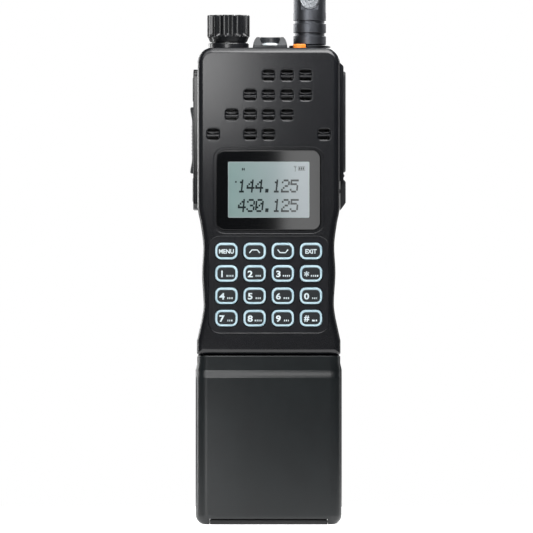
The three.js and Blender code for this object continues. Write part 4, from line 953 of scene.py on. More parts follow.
# Moulded ribs across the cover
coverRib = ribBar("y", 0.9, 0.8, 0.3, (0.2, 5.6), (0, 5.2))
coverRibs = scatter("coverRibs", [coverRib], [(coverPlace.x1 - 0.5, 0, flapLow + 9 + 2.2 * k)
                                              for k in range(4)], softRubber)
finishEdges(coverRibs, angle=45)
setPiece(joinMeshes("jackCover", [flap, hinge, coverRibs]), "soft_rubber", "jack_cover")

slope = fromLevel(anchorPlace.z0, (anchorPlace.x0, 0), (anchorPlace.x1 - 0.25, 3.35),
                  (anchorPlace.x1, 3.9)) + fromLevel(anchorPlace.z1, (anchorPlace.x1, -1.5),
                      (anchorPlace.x1 - 0.35, -0.9), (anchorPlace.x1 - 1.1, -0.15), (anchorPlace.x1 - 1.5, 0),
                      (anchorPlace.x0, 0))
anchorBlock = solidObject("anchor", [loft("y", lambda k: slope, [(0, anchorPlace.y0), (0, anchorPlace.y1)])],
                          softRubber)
cutAway(anchorBlock, [[turned("x", (0, coverScrew.z), [(0, 20), (1.6, 20), (1.6, coverScrew.x1 - 1.3),
    (2.9, coverScrew.x1 - 1.3), (2.9, anchorPlace.x1 - 0.2),
    (3.1, anchorPlace.x1 + 0.01), (3.1, 50), (0, 50)], 32)]])
setPiece(finishEdges(anchorBlock, 0.25, angle=40), "soft_rubber", "cover_anchor")


screw = {"pitch": 0.5, "threadDepth": 0.16, "recessDepth": 0.55, "recessLong": 0.62, "recessThin": 0.15}


# A pan-head screw with a cross recess; its head faces the way the axis runs
def screwPiece(name, axis, centre, radius, head, thick, shank, end, slot):
    under = head - thick
    profile = [(0, head), (radius * 0.55, head - 0.04), (radius * 0.85, head - 0.16), (radius, head - 0.42),
               (radius, under), (shank, under)]
    for k in range(int((under - end) / screw["pitch"])):  # rounded threads
        level = under - screw["pitch"] * k
        profile += [(shank, level - 0.1), (shank - screw["threadDepth"], level - 0.3)]
    profile += [(shank - 0.2, end), (0, end)]
    long, thin = radius * screw["recessLong"], radius * screw["recessThin"]
    recess = [[loft(axis, lambda inset: roundedRect(2 * wide, 2 * high, 0.08, *centre, 2),
                    [(0, head - screw["recessDepth"]), (0, head + 1)])] for wide,
              high in ((long, thin), (thin, long))]
    obj = solidObject(name, [turned(axis, centre, profile, 28)], darkSteel)
    return setPiece(finishEdges(cutAway(obj, recess), angle=35), slot, name)


screwPiece("cover_screw", "x", (0, coverScrew.z), 2.6, coverScrew.x1, 0.9, 1.25, coverScrew.x0, "dark_steel")
for p, name in zip(screwPlaces, ("case_screw_left", "case_screw_right")):
    screwPiece(name, "y", (p.x, p.z), 2.5, p.y1, 1.4, 1.25, p.y0, "steel")
print("jack cover and screws done")


# Volume knob

knob = {"flutes": 14, "depth": 1.7, "sharp": 0.72, "topRound": 0.45, "skirtRadius": 9.2, "skirtHigh": 2.6,
        "dish": 0.5}
radius, low, high = knobPlace.w / 2, knobPlace.z0, knobPlace.z1
profile = [(0, low + 0.6), (knob["skirtRadius"] - 1.2, low + 0.6), (knob["skirtRadius"] - 1.0, low),
           (knob["skirtRadius"], low),
           (knob["skirtRadius"] + 0.15, low + 0.15), (radius - 0.55, low + knob["skirtHigh"] * 0.8),
           (radius - 0.15, low + knob["skirtHigh"]), (radius, low + knob["skirtHigh"] + 0.3)]
profile += [(radius, low + knob["skirtHigh"] + 0.3
             + (high - low - knob["skirtHigh"] - 0.3 - knob["topRound"]) * k / 12) for k in range(1, 13)]
profile += [(radius - knob["topRound"] * (1 - cosOf(a)), high - knob["topRound"] * (1 - sinOf(a)))
            for a in (22, 45, 68, 90)]
profile += [(radius - 2.6, high), (radius - 2.9, high - 0.08), (radius - 3.2, high - knob["dish"]),
            (3, high - knob["dish"] - 0.05), (0, high - knob["dish"] - 0.05)]


# Scoops flutes into a turned body: every point above a height moves in towards the axis by the
# flute's depth
def fluteTree():
    tree, given = newTree("knobFlutes", "Fluted", [
        ("Body", "Geometry", None), ("Count", "Float", 14.0), ("Depth", "Float", 0.001),
        ("Sharp", "Float", 0.6),
        ("Low", "Float", 0.0), ("High", "Float", 1.0), ("Fade", "Float", 0.001), ("Inside", "Float", 0.006),
        ("Axis", "Vector", None), ("Finish", "Material", None)])
    place = addNode(tree, "GeometryNodeInputPosition").outputs[0]
    fromAxis = addNode(tree, "ShaderNodeVectorMath", {0: place, 1: given.outputs["Axis"]},
                       operation="SUBTRACT")
    parts = addNode(tree, "ShaderNodeSeparateXYZ", {0: fromAxis})
    flat = addNode(tree, "ShaderNodeCombineXYZ", {"X": parts, "Y": parts.outputs[1]})
    reach = addNode(tree, "ShaderNodeVectorMath", {0: flat}, operation="LENGTH")
    outward = addNode(tree, "ShaderNodeVectorMath", {0: flat}, operation="NORMALIZE")
    angle = addNode(tree, "ShaderNodeMath", {0: parts.outputs[1], 1: parts}, operation="ARCTAN2")
    waves = addNode(tree, "ShaderNodeMath", {0: angle, 1: given.outputs["Count"]}, operation="MULTIPLY")
    wave = addNode(tree, "ShaderNodeMath", {0: waves}, operation="COSINE")
    scoop = addNode(tree, "ShaderNodeMapRange", {"Value": wave, "From Min": given.outputs["Sharp"],
        "From Max": -1.0, "To Min": 0.0, "To Max": 1.0})
    eased = addNode(tree, "ShaderNodeMath", {0: scoop, 1: 0.62}, operation="POWER")
    level = addNode(tree, "ShaderNodeSeparateXYZ", {0: place}).outputs[2]
    above = addNode(tree, "ShaderNodeMath", {0: level, 1: given.outputs["Low"]}, operation="SUBTRACT")
    rise = addNode(tree, "ShaderNodeMath", {0: above, 1: given.outputs["Fade"]}, operation="DIVIDE",
                   use_clamp=True)
    outer = addNode(tree, "ShaderNodeMath", {0: reach.outputs["Value"], 1: given.outputs["Inside"]},
                    operation="GREATER_THAN")
    depth = addNode(tree, "ShaderNodeMath", {0: eased, 1: given.outputs["Depth"]}, operation="MULTIPLY")
    faded = addNode(tree, "ShaderNodeMath", {0: depth, 1: rise}, operation="MULTIPLY")
    limited = addNode(tree, "ShaderNodeMath", {0: faded, 1: outer}, operation="MULTIPLY")
    inward = addNode(tree, "ShaderNodeMath", {0: limited, 1: -1.0}, operation="MULTIPLY")
    move = addNode(tree, "ShaderNodeVectorMath", {0: outward, "Scale": inward}, operation="SCALE")
    moved = addNode(tree, "GeometryNodeSetPosition", {"Geometry": given.outputs["Body"], "Offset": move})
    return closeTree(tree, moved, given, "Fluted")


knobBody = solidObject("knobBody", [turned("z", (knobPlace.x, knobPlace.y), profile, 16 * knob["flutes"])],
                       knobPlastic)
runTree(knobBody, fluteTree(), Count=float(knob["flutes"]), Depth=knob["depth"] * mm, Sharp=knob["sharp"],
        Low=(low + knob["skirtHigh"]) * mm, Fade=0.0006, Inside=(radius - 1.2) * mm,
        Axis=(knobPlace.x * mm, knobPlace.y * mm, 0.0), Finish=knobPlastic)
pointer = loft("z", rectShape(0.9, 4.6, 0.4, knobPlace.x, knobPlace.y - radius + 5.6, 4),
               [(0, high - knob["dish"] - 0.3), (0, high - knob["dish"] + 0.02),
                (0.1, high - knob["dish"] + 0.08)])
pointerPiece = solidObject("pointer", [pointer], legendInk)
cutAway(knobBody, [[rod("z", (knobPlace.x, knobPlace.y), 7.3, low - 1, low + 4.5, 48)],
                   [rod("z", (knobPlace.x, knobPlace.y), 2.25, low + 4, high - 2)]])
finishEdges(knobBody, angle=42)
finishEdges(pointerPiece, angle=45)
setPiece(joinMeshes("volumeKnob", [knobBody, pointerPiece]), "knob_plastic", "volume_knob")
print("volume knob done")


# Folding antenna

antenna = {"radius": 8.2, "topRound": 2.0, "flat": 1.2, "slotHalf": 1.45,
           # ring grooves: height above the base's foot, width, depth
           "rings": [(4.5, 1.5, 0.8), (10.7, 1.5, 0.8)],
           # rivet head: radius, rise above its underside
           "head": [(4.9, 0), (5.0, 0.12), (5.0, 0.5), (4.8, 0.68), (4.3, 0.72), (4.15, 0.5), (3.85, 0.5),
                    (3.7, 0.74), (2.7, 0.78), (2.55, 0.55), (2.3, 0.55)]}
blade, rivet, socket = placeOf("antenna_blade"), placeOf("antenna_pivot"), placeOf("antenna_connector")
ax, ay, baseLow, baseHigh = antennaPlace.x, antennaPlace.y, antennaPlace.z0, antennaPlace.z1
r = antenna["radius"]
profile = fromLevel(baseLow, (0, 0), (r - 0.4, 0), (r, 0.35))
for rise, width, deep in antenna["rings"]:
    ease = min(0.2, deep * 0.5)
    profile += [(r, baseLow + rise - ease), (r - ease, baseLow + rise), (r - deep, baseLow + rise + 0.05),
                (r - deep, baseLow + rise + width - 0.05), (r - ease, baseLow + rise + width),
                (r, baseLow + rise + width + ease)]
top = antenna["topRound"]
profile += [(r, baseHigh - top)] + [(r - top * (1 - cosOf(a)), baseHigh - top * (1 - sinOf(a)))
                                    for a in (22, 45, 68, 90)] + [(0, baseHigh)]
base = solidObject("base", [turned("z", (ax, ay), profile, 72)], anodised)
flatLow = rivet.z0 - 0.3
cutAway(base, [[rod("z", (ax, ay), 4.7, baseLow - 1, socket.z1 + 0.3, 32)],
               [boxSolid(ax - 20, ax + 20, ay - antenna["slotHalf"], ay + antenna["slotHalf"], blade.z0 - 0.8,
                         baseHigh + 2)], [rod("y", (ax, rivet.z), 2.5, ay - 12, ay + 12)],
               [boxSolid(ax - 20, ax + 20, ay - r - 3, ay - r + antenna["flat"], flatLow, baseHigh + 2),
                boxSolid(ax - 20, ax + 20, ay + r - antenna["flat"], ay + r + 3, flatLow, baseHigh + 2)]])
setPiece(finishEdges(base, 0.12, angle=35), "anodised", "antenna_base")

# Rivet: domed heads with two turned rings, front and back
heads = []
for sign, face in ((-1, rivet.y0), (1, rivet.y1)):
    under = face - sign * 0.8
    heads.append(turned("y", (ax, rivet.z), [(0, under)] + [
        (radius, under + sign * rise) for radius, rise in antenna["head"]]
                        + [(2.15, face - sign * 0.01), (0, face)], 56))
heads.append(rod("y", (ax, rivet.z), 2.2, rivet.y0 + 0.5, rivet.y1 - 0.5, 32))
pivot = solidObject("pivot", heads, plainSteel)
setPiece(finishEdges(pivot, angle=40), "steel", "antenna_pivot")

bladeTip, bladeWide, tipWide = blade.z1, blade.w / 2, 4.5


# The strip's outline from its round foot to its round tip
def bladeOutline(inset):
    points = []
    for i in range(13):
        a = math.radians(180 + 180 * i / 12)
        points.append((ax + (bladeWide - inset) * math.cos(a), rivet.z + (bladeWide - inset) * math.sin(a)))
    for i in range(1, 9):
        t = i / 9
        points.append((ax + bladeWide + (tipWide - bladeWide) * t - inset, rivet.z
                       + (bladeTip - tipWide - rivet.z) * t))
    for i in range(13):
        a = math.radians(180 * i / 12)
        points.append((ax + (tipWide - inset) * math.cos(a), bladeTip - tipWide
                       + (tipWide - inset) * math.sin(a)))
    for i in range(1, 9):
        t = 1 - i / 9
        points.append((ax - bladeWide - (tipWide - bladeWide) * t + inset, rivet.z
                       + (bladeTip - tipWide - rivet.z) * t))
    return points


strip = solidObject("strip", [loft("y", bladeOutline, fromLevel(blade.y0, (0.7, 0), (0.3, 0.12), (0, 0.5))
                                   + fromLevel(blade.y1, (0, -0.5), (0.3, -0.12), (0.7, 0)))], antennaCoat)
cutAway(strip, [[rod("y", (ax, rivet.z), 2.5, -20, 20, 32)],
                # a long shallow channel on both faces, where the spring steel shows through its sleeve
                [loft("y", rectShape(3.2, 120, 1.5, ax, rivet.z + 82, 6),
                      [(-0.2, face - sign), (-0.2, face), (0.1, face + sign * 0.3)])
                 for sign, face in ((1, blade.y0), (-1, blade.y1))]])
setPiece(finishEdges(strip, angle=35), "antenna_coat", "antenna_blade")

flangeTop = baseLow - 0.35
socketPiece = solidObject("socket", [turned("z", (ax, ay), fromLevel(socket.z0, (0, 0), (4.2, 0), (4.4, 0.2))
                                            + fromLevel(flangeTop, (4.4, -1.1), (10.1, -1.1), (10.4, -0.9),
                                                (10.4, -0.3), (10.1, 0), (4.4, 0), (4.4, 1)) + [
                                                    p for k in range(10)
                                                    for p in ((4.4, flangeTop + 1 + 0.8 * k),
                                                        (4.05, flangeTop + 1.4 + 0.8 * k))]
                                            + fromLevel(socket.z1, (4.1, -0.3), (3.8, 0), (0, 0)), 64)],
                          darkSteel)
cutAway(socketPiece, [[turned("z", (ax, ay), fromLevel(socket.z1, (0, -6), (2.6, -6), (3.0, -0.3), (3.3, 0.2),
    (3.3, 2), (0, 2)), 32)]])
setPiece(finishEdges(socketPiece, angle=35), "brass", "antenna_connector")
print("antenna done")


# Torch and alarm button

torchPlace, torchLens = placeOf("torch_housing"), placeOf("torch_lens")
torch = {"crown": 6.6, "slopeLow": 0.6}
tx, low, high = torchPlace.x, torchPlace.z0, torchPlace.z1
half = torchPlace.w / 2


# The hump seen from the front: bulging sides under a flat crown, drawn in by inset
def humpShape(inset):
    points = [(tx - half + inset, low), (tx + half - inset, low)]
    for side in (1, -1):
        curve = []
        for i in range(11):
            t = i / 10
            a, b, c = (half, 0.0), (half - 0.3, high - low - 1.2), (torch["crown"], high - low)
            curve.append((tx + side * ((1 - t) ** 2 * a[0] + 2 * t * (1 - t) * b[0] + t * t * c[0] - inset),
                          low + max((1 - t) ** 2 * a[1] + 2 * t * (1 - t) * b[1] + t * t * c[1] - inset * t,
                                    0)))
        points += curve[1:] if side > 0 else list(reversed(curve))[:-1]
    return points


hump = solidObject("hump", [loft("y", humpShape, fromLevel(torchPlace.y0, (0.9, 0), (0.35, 0.25), (0, 0.9))
                                 + fromLevel(torchPlace.y1, (0, -0.9), (0.35, -0.25), (0.9, 0)))],
                   torchPlastic)
lensY = torchLens.y
wedge = [(torchPlace.y0 - 6, low - 2), (torchPlace.y0 - 0.6, low - 2),
         (torchPlace.y0 - 0.6, low + torch["slopeLow"]),
         (torchPlace.y0 + 4.3, high + 0.4), (torchPlace.y0 + 4.3, high + 3), (torchPlace.y0 - 6, high + 3)]
cutAway(hump, [[loft("x", lambda k: wedge, [(0, tx - 30), (0, tx + 30)])],
               [turned("z", (tx, lensY), fromLevel(torchLens.z0, (0, -0.3), (torchLens.w / 2 + 0.3, -0.3))
                       + fromLevel(high, (torchLens.w / 2 + 0.35, -1.5), (torchLens.w / 2 + 1.0, 3), (0, 3)),
                       56)], [rod("z", (tx, lensY), 2.4, low - 1, low + 2)]])
setPiece(finishEdges(hump, 0.15, angle=38), "casing", "torch_housing")
r = torchLens.w / 2
dome = fromLevel(torchLens.z0, (0, 0), (r, 0), (r, 0.35), (r - 0.25, 0.45), (r - 0.3, 0.4))
dome += [((r - 0.5) * cosOf(a), torchLens.z0 + 0.45 + (torchLens.h - 0.45) * sinOf(a))
         for a in range(0, 90, 10)] + [(0, torchLens.z1)]
domePiece = solidObject("dome", [turned("z", (tx, lensY), dome, 48)], clearPlastic)
setPiece(finishEdges(domePiece, angle=50), "clear_lens", "torch_lens")

tip, alarmX, alarmY = alarmPlace.z1, alarmPlace.x, alarmPlace.y
button = solidObject("button", [turned("z", (alarmX, alarmY), fromLevel(alarmPlace.z0, (0, 0), (4.05, 0))
                                       + fromLevel(topZ, (4.05, -3.3), (3.25, -3.3))
                                       + fromLevel(tip, (3.25, -0.9), (3.18, -0.6), (3.0, -0.35), (2.7, -0.2),
                                           (2.0, -0.24), (1.7, -0.32), (0, -0.36)), 56)], orangePlastic)
knurls = scatter("buttonKnurls", [turned("z", (0, 0), [(0, 0), (0.32, 0), (0.26, 0.16), (0, 0.22)], 10)],
                 [(alarmX + rr * math.cos(2 * math.pi * k / n), alarmY + rr * math.sin(2 * math.pi * k / n),
                   tip - 0.37)
                  for rr, n in ((0.0, 1), (0.85, 6), (1.55, 11)) for k in range(n)], orangePlastic)
finishEdges(knurls, angle=50)
finishEdges(button, angle=40)
setPiece(joinMeshes("alarmButton", [button, knurls]), "orange_button", "alarm_button")
print("torch and alarm button done")


# Battery pack

packPlace, footPlace = placeOf("battery_shell"), placeOf("battery_foot")
pack = {"edge": 6.0, "heel": 4.8, "sole": 1.4, "neckIn": 0.75, "neckSet": 1.7, "frontSlope": (73.3, 77.1),
        "sideSlope": (77.25, 80.75), "topRound": 0.5}
pw, pd, ph = packPlace.w / 2, packPlace.d / 2, packPlace.z1


# Plan of the pack at one height: (half width, half depth, corner radius)
def packSection(station):
    halfX, halfY, corner = station
    return roundedRect(2 * halfX, 2 * halfY, corner, 0, 0, 10)


# How far along a shoulder a height is: 0 below it, 1 above
def alongSlope(z, span):
    t = min(max((z - span[0]) / (span[1] - span[0]), 0.0), 1.0)
    return 0.75 * t + 0.25 * t * t * (3 - 2 * t)


stations = []
for a in range(0, 91, 10):  # rounded heel: wider seen from the front, tighter seen from the side
    c, s = cosOf(a), sinOf(a)
    stations.append(((pw - pack["heel"] * (1 - s), pd - pack["sole"] * (1 - s),
                      pack["edge"] * (0.55 + 0.45 * s)), pack["heel"] * (1 - c)))
frontSlope, sideSlope = pack["frontSlope"], pack["sideSlope"]
heights = [9, 20, 40, 60, frontSlope[0] - 1]
heights += [frontSlope[0] + (frontSlope[1] - frontSlope[0]) * k / 8 for k in range(9)]
heights += [sideSlope[0] + (sideSlope[1] - sideSlope[0]) * k / 8
            for k in range(1, 9)] + [ph - pack["topRound"]]
for z in heights:
    across, deep = alongSlope(z, sideSlope), alongSlope(z, frontSlope)
    stations.append(((pw - pack["neckIn"] * across, pd - pack["neckSet"] * deep, pack["edge"] - 0.5 * across),
                     z))
nx, ny = pw - pack["neckIn"], pd - pack["neckSet"]
stations += [((nx - 0.15, ny - 0.15, 5.4), ph - 0.15), ((nx - 0.5, ny - 0.5, 5.1), ph)]
packShell = solidObject("packShell", [loft("z", packSection, stations)], batteryPlastic)
inner = [((nx - 2.5, ny - 2.5, 3.2), 5.3), ((nx - 2.5, ny - 2.5, 3.2), ph + 1)]
footCut = boxSolid(footPlace.x0 - 0.3, footPlace.x1 + 0.3, -60, 60, -1, footPlace.z1 + 0.3)
latch = {"plate": 14, "travel": 3, "armHalf": 5, "fit": 0.3}
latchTop = latchPlace.z0 + latch["plate"]
latchCut = boxSolid(latchPlace.x0 - latch["fit"], latchPlace.x1 + latch["fit"], 19.3, 60,
                    latchPlace.z0 - latch["travel"] - latch["fit"], latchTop + 0.5)
arm = latch["armHalf"]
armCut = boxSolid(-arm - latch["fit"], arm + latch["fit"], 14, 60, latchTop - 5.3, latchTop + 0.5)
grips = [loft("x", lambda k, z=z: fromLevel(z, (pd - 0.49, -0.1), (pd + 2, -1.1), (pd + 2, 1.1),
                                            (pd - 0.49, 0.1)), [(0, -22), (0, 22)]) for z in (16, 20, 24, 28)]
cutAway(packShell, [[loft("z", packSection, inner)], [footCut], [latchCut], [armCut], grips])
setPiece(finishEdges(packShell, angle=16), "battery_plastic", "battery_shell")

footPiece = solidObject("packFoot", [loft("x", lambda inset: roundedRect(
    footPlace.d - 2 * inset, footPlace.h - 2 * inset, 0.9, 0, footPlace.z, 4),
                                          fromLevel(footPlace.x0, (0.4, 0), (0.1, 0.15), (0, 0.5))
                                          + fromLevel(footPlace.x1, (0, -0.5), (0.1, -0.15), (0.4, 0)))],
                        footPlastic)
treads = [boxSolid(x - 0.4, x + 0.4, -footPlace.d / 2 + 3, footPlace.d / 2 - 3, -1, 0.5)
          for x in range(-26, 27, 4)]
cutAway(footPiece, [treads])
setPiece(finishEdges(footPiece, angle=35), "foot_plastic", "battery_foot")

# Latch: a thumb plate with grip ribs, and the arm and tooth that hold the radio
lx, thumbLow = latchPlace.w / 2, latchPlace.z0
thumb = solidObject("thumb", [loft("y", rectShape(2 * lx, latch["plate"], 1.2, 0, thumbLow
    + latch["plate"] / 2, 5), [
        (0, 19.6), (0, latchPlace.y1 - 0.5), (0.15, latchPlace.y1 - 0.15), (0.5, latchPlace.y1)]),
                              boxSolid(-arm, arm, 14.6, 21, latchTop - 2, latchTop - 0.02),
                              boxSolid(-arm, arm, 14.6, 16.6, latchTop - 1.5, latchPlace.z1)], clipPlastic)
grooveCuts = [loft("x", lambda k, z=z: fromLevel(z, (latchPlace.y1 - 0.6, 0), (latchPlace.y1 + 1, -1.2),
    (latchPlace.y1 + 1, 1.2)), [(0, -7.5), (0, 7.5)]) for z in (thumbLow + 3 + 2 * k for k in range(5))]
cutAway(thumb, [grooveCuts])
setPiece(finishEdges(thumb, 0.12, angle=38), "clip_plastic", "battery_latch")
print("battery done")


# Belt clip

clipPlace, bracket, pin, spring = (placeOf(n) for n in ("belt_clip", "clip_bracket", "clip_pin",
    "clip_spring"))
clip = {"thick": 1.8, "knuckle": 2.9, "bore": 1.55, "corner": 4.0}
lineY, pinZ, pinY = clipPlace.y1 - clip["thick"] / 2 - 0.06, pin.z, pin.y
tipY, tipZ = clipPlace.y0 + clip["thick"] / 2, clipPlace.z0
path = sideCurve([(lineY, clipPlace.z1), (lineY, pinZ), (lineY, tipZ + 19), (lineY - 0.5, tipZ + 14),
                  (tipY + 2.6, tipZ + 8.2),
                  (tipY + 0.35, tipZ + 5), (tipY + 0.1, tipZ + 3.2), (tipY + 0.9, tipZ + 0.3)], 6)
verts, faces, across, corner = [], [], 11, clip["corner"]
for i, (py, pz) in enumerate(path):
    a, b = path[max(i - 1, 0)], path[min(i + 1, len(path) - 1)]
    dy, dz = b[0] - a[0], b[1] - a[1]
    size = math.hypot(dy, dz)
    normalY, normalZ = -dz / size, dy / size
    fromTop, fromTip = clipPlace.z1 - pz, pz - tipZ
    ends = min(fromTop, fromTip, corner)
    half = clipPlace.w / 2 - corner + math.sqrt(max(corner ** 2 - (corner - ends) ** 2, 0.04))
    for k in range(across):
        u = -1 + 2 * k / (across - 1)
        for side in (-1, 1):
            edge = 0.25 * abs(u) ** 8
            off = side * (clip["thick"] / 2 - edge)
            verts.append((u * half, py + normalY * off, pz + normalZ * off))
n = across * 2
for i in range(len(path) - 1):
    for k in range(across - 1):
        p, q = i * n + 2 * k, (i + 1) * n + 2 * k
        faces += [(p, p + 2, q + 2, q), (p + 1, q + 1, q + 3, p + 3)]
    p, q = i * n, (i + 1) * n
    faces += [(p, q, q + 1, p + 1), (p + n - 2, p + n - 1, q + n - 1, q + n - 2)]
for start in (0, (len(path) - 1) * n):
    faces += [(start + 2 * k, start + 2 * k + 1, start + 2 * k + 3, start + 2 * k + 2)
              for k in range(across - 1)]
clipPiece = solidObject("clip", [(verts, faces)], clipPlastic)
finishEdges(clipPiece, angle=50)
knuckles = []
big = clip["knuckle"]
for x0, x1 in ((-12, -4.95), (4.95, 12)):
    knuckles.append(turned("x", (pinY, pinZ), fromLevel(x0, (0, 0), (big - 0.3, 0), (big, 0.3))
                           + fromLevel(x1, (big, -0.3), (big - 0.3, 0), (0, 0)), 32))
knucklePiece = solidObject("knuckles", knuckles, clipPlastic)
cutAway(knucklePiece, [[rod("x", (pinY, pinZ), clip["bore"], -20, 20)]])
finishEdges(knucklePiece, angle=40)
thumbRib = ribBar("x", 0.9, 0.7, 0.25, (0.2, 8), (0, 7.6))
clipRibs = scatter("clipRibs", [thumbRib], [(0, clipPlace.y1 - 0.5, clipPlace.z1 - 4 - 1.8 * k)
                                            for k in range(5)], clipPlastic)
finishEdges(clipRibs, angle=45)
setPiece(joinMeshes("beltClip", [clipPiece, knucklePiece, clipRibs]), "clip_plastic", "belt_clip")

halfBracket, thick = bracket.w / 2, 1.4
bracketPlate = loft("y", rectShape(2 * halfBracket, bracket.h, 2.0, 0, bracket.z, 5),
                    [(0, bracket.y0), (0, bracket.y0 + thick - 0.2), (0.2, bracket.y0 + thick)])
ears = []
for side in (-1, 1):
    x0, x1 = sorted((side * 12.3, side * halfBracket))
    outline = fromLevel(pinZ, (bracket.y0 + 0.3, -4.4), (bracket.y0 + 1.4, -4.0), (pinY - 1.5, -2.9)) + [
        (pinY + 2.9 * sinOf(a), pinZ - 2.9 * cosOf(a)) for a in range(0, 181, 15)] + fromLevel(pinZ,
            (pinY - 1.5, 2.9), (bracket.y0 + 1.4, 4.0), (bracket.y0 + 0.3, 4.4))
    ears.append(loft("x", lambda k, outline=outline: outline, [(0, x0), (0, x1)]))
bracketPiece = solidObject("bracket", [bracketPlate], plainSteel)
earPiece = solidObject("ears", ears, plainSteel)
for obj in (bracketPiece, earPiece):
    cutAway(obj, [[rod("x", (pinY, pinZ), clip["bore"], -20, 20)]])
    finishEdges(obj, 0.15, angle=38)
rivetHead = turned("y", (0, 0), [(0, 0), (1.9, 0), (1.9, 0.35), (1.5, 0.62), (0.7, 0.75), (0, 0.78)], 24)
bracketRivets = scatter("bracketRivets", [rivetHead], [(x, bracket.y0 + thick - 0.02, z) for x in (-9.5, 9.5)
    for z in (bracket.z0 + 3.5, bracket.z1 - 3.5)], plainSteel)
finishEdges(bracketRivets, angle=45)
setPiece(joinMeshes("bracket", [bracketPiece, earPiece, bracketRivets]), "dark_steel", "clip_bracket")

pinSolid = turned("x", (pinY, pinZ), [(0, pin.x0), (0.9, pin.x0), (1.25, pin.x0 + 0.3), (1.25, pin.x1 - 0.3),
                                      (0.9, pin.x1), (0, pin.x1)], 28)
pinPiece = solidObject("pin", [pinSolid], plainSteel)
setPiece(finishEdges(pinPiece, angle=40), "steel", "clip_pin")


# Coil spring: a round wire swept along a helix whose size the sockets give
def coilTree():
    tree, given = newTree("coilSpring", "Spring", [
        ("Turns", "Float", 4.0), ("Radius", "Float", 0.002), ("Length", "Float", 0.008),
        ("Wire", "Float", 0.0004), ("Start", "Vector", None), ("Finish", "Material", None)])
    helix = addNode(tree, "GeometryNodeCurveSpiral", {
        "Resolution": 24, "Rotations": given.outputs["Turns"], "Start Radius": given.outputs["Radius"],
        "End Radius": given.outputs["Radius"], "Height": given.outputs["Length"]})
    wire = addNode(tree, "GeometryNodeCurvePrimitiveCircle",
                   {"Resolution": 10, "Radius": given.outputs["Wire"]})
    tube = addNode(tree, "GeometryNodeCurveToMesh", {"Curve": helix, "Profile Curve": wire,
        "Fill Caps": True})
    laid = addNode(tree, "GeometryNodeTransform", {"Geometry": tube, "Translation": given.outputs["Start"],
        "Rotation": (0.0, math.radians(90), 0.0)})
    return closeTree(tree, laid, given, "Spring")


coilSize = {"turns": 4.0, "radius": 1.85, "wire": 0.4, "end": 0.45}
coil = runTree(objectFrom("coil", bpy.data.meshes.new("coil")), coilTree(), Turns=coilSize["turns"],
               Radius=coilSize["radius"] * mm, Length=(spring.w - 2 * coilSize["end"]) * mm,
               Wire=coilSize["wire"] * mm, Start=((spring.x0 + coilSize["end"]) * mm, pinY * mm, pinZ * mm),
               Finish=plainSteel)
setPiece(finishEdges(coil, angle=60), "steel", "clip_spring")
print("belt clip done")


# Pieces whose CAD shape is right: their own finishes

finishes = {"case_seal": sealRubber, "lcd_panel": crystalRim, "lcd_frame": innerPlastic,
            "keypad_mat": sealRubber,
            # the microphone takes the dark speaker cloth as a cover; it is also painted shade, keeping its
            # port dark behind the slots
            "speaker_mesh": speakerCloth, "speaker": speakerMetal, "microphone": speakerCloth,
            "main_board": circuitResist,
            "rf_shield": tinned, "chassis": castMetal, "jack_block": recessPlastic,
            "volume_shaft": plainSteel,
            "volume_switch": tinned, "battery_lid": batteryPlastic, "battery_contacts": brass,
            "body_contacts": brass, "battery_cells": cellWrap}
for node, material in finishes.items():
    slots = frame["nodes"][node].data.materials
    slots.clear()
    slots.append(material)
print("inner pieces finished")


# Studio

studio = {"floorSize": 620, "floorCorner": 200, "paperGlow": 0.85, "roomSeen": 1.0, "roomLight": 0.06}
floor = objectFrom("studioFloor", meshFrom("studioFloor", [loft("z", lambda inset: roundedRect(
    studio["floorSize"], studio["floorSize"], studio["floorCorner"]), [(0, -9.0), (0, 0.0)])]))
floorMaterial, floorTree, floorPlace = startMaterial("whitePaper")
paper = addNode(floorTree, "ShaderNodeTexNoise", {"Vector": floorPlace, "Scale": perSize(2.0), "Detail": 2.0})
paperTint = addNode(floorTree, "ShaderNodeValToRGB", {"Fac": paper.outputs["Fac"]},
                    stops=[(0.3, grey(0.93)), (0.7, grey(0.95))])
endMaterial(floorMaterial, floorTree, addNode(floorTree, "ShaderNodeBsdfPrincipled", {
    "Base Color": paperTint, "Roughness": 0.9, "Emission Color": grey(1.0),
    "Emission Strength": studio["paperGlow"]}))
floor.data.materials.append(floorMaterial)

world = bpy.data.worlds.new("studio")
world.use_nodes = True
scene.world = world
tree = world.node_tree
tree.nodes.clear()
path = addNode(tree, "ShaderNodeLightPath")
seen = addNode(tree, "ShaderNodeBackground", {"Color": grey(1.0), "Strength": studio["roomSeen"]})
lit = addNode(tree, "ShaderNodeBackground", {"Color": grey(1.0), "Strength": studio["roomLight"]})
both = addNode(tree, "ShaderNodeMixShader", {"Fac": path.outputs["Is Camera Ray"], 1: lit, 2: seen})
addNode(tree, "ShaderNodeOutputWorld", {"Surface": both})

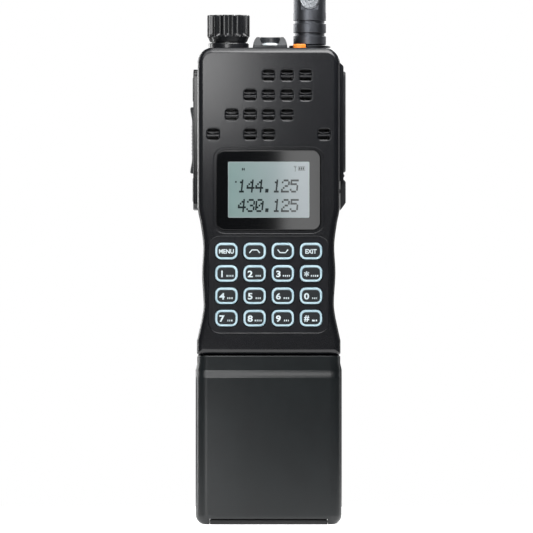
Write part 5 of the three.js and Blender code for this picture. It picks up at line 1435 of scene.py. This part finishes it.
lights = {
    # name: place (m), aim (m), width, height (m), watts
    "topStrip": ((0.05, -0.12, 0.36), (0.0, -0.018, 0.237), 0.18, 0.12, 0.72),
    "topSoftbox": ((-0.17, -0.27, 0.52), (-0.02, -0.01, 0.18), 0.20, 0.36, 0.6),
    "overhead": ((0.08, 0.02, 0.75), (0.0, 0.0, 0.20), 0.36, 0.26, 1.2),
    "nearKey": ((-0.055, -0.22, 0.250), (-0.055, 0.0, 0.250), 0.08, 0.095, 0.17),
    "lowKey": ((-0.09, -0.26, 0.03), (-0.09, 0.0, 0.02), 0.10, 0.06, 0.06),
    "leftRim": ((-0.50, 0.20, 0.20), (0.0, 0.0, 0.15), 0.10, 0.50, 1.2),
    "rightRim": ((0.50, 0.24, 0.20), (0.0, 0.0, 0.15), 0.10, 0.50, 0.3),
    "backFill": ((0.35, 0.70, 0.55), (0.0, 0.0, 0.18), 0.50, 0.50, 5.0),
    "backFillLeft": ((-0.45, 0.60, 0.35), (0.0, 0.0, 0.15), 0.30, 0.50, 2.5),
    "windowCard": ((0.0224, -1.0, 0.170), (0.0224, 0.0, 0.170), 0.028, 0.09, 0.028),}
for name, (place, aim, width, height, watts) in lights.items():
    data = bpy.data.lights.new(name, "AREA")
    data.shape, data.size, data.size_y, data.energy = "RECTANGLE", width, height, watts
    lamp = bpy.data.objects.new(name, data)
    lamp.location = place
    lamp.rotation_euler = (Vector(aim) - Vector(place)).to_track_quat("-Z", "Y").to_euler()
    scene.collection.objects.link(lamp)
    lamp.visible_camera = False
    # the card is only there to be mirrored by the display window
    lamp.visible_diffuse = name != "windowCard"

# Straight from the front and far off, so that the view is nearly parallel
view = {"centre": (-1.1, 129.0), "width": 266.5, "lens": 600.0, "sensor": 36.0}
cameraData = bpy.data.cameras.new("camera")
cameraData.lens, cameraData.sensor_width = view["lens"], view["sensor"]
cameraData.clip_end = 50.0
camera = bpy.data.objects.new("camera", cameraData)
distance = view["width"] * view["lens"] / view["sensor"]
camera.location = (view["centre"][0] * mm, (faceY - distance) * mm, view["centre"][1] * mm)
camera.rotation_euler = (math.radians(90), 0, 0)
scene.collection.objects.link(camera)
scene.camera = camera
scene.view_settings.view_transform = "Standard"
scene.view_settings.look = "None"
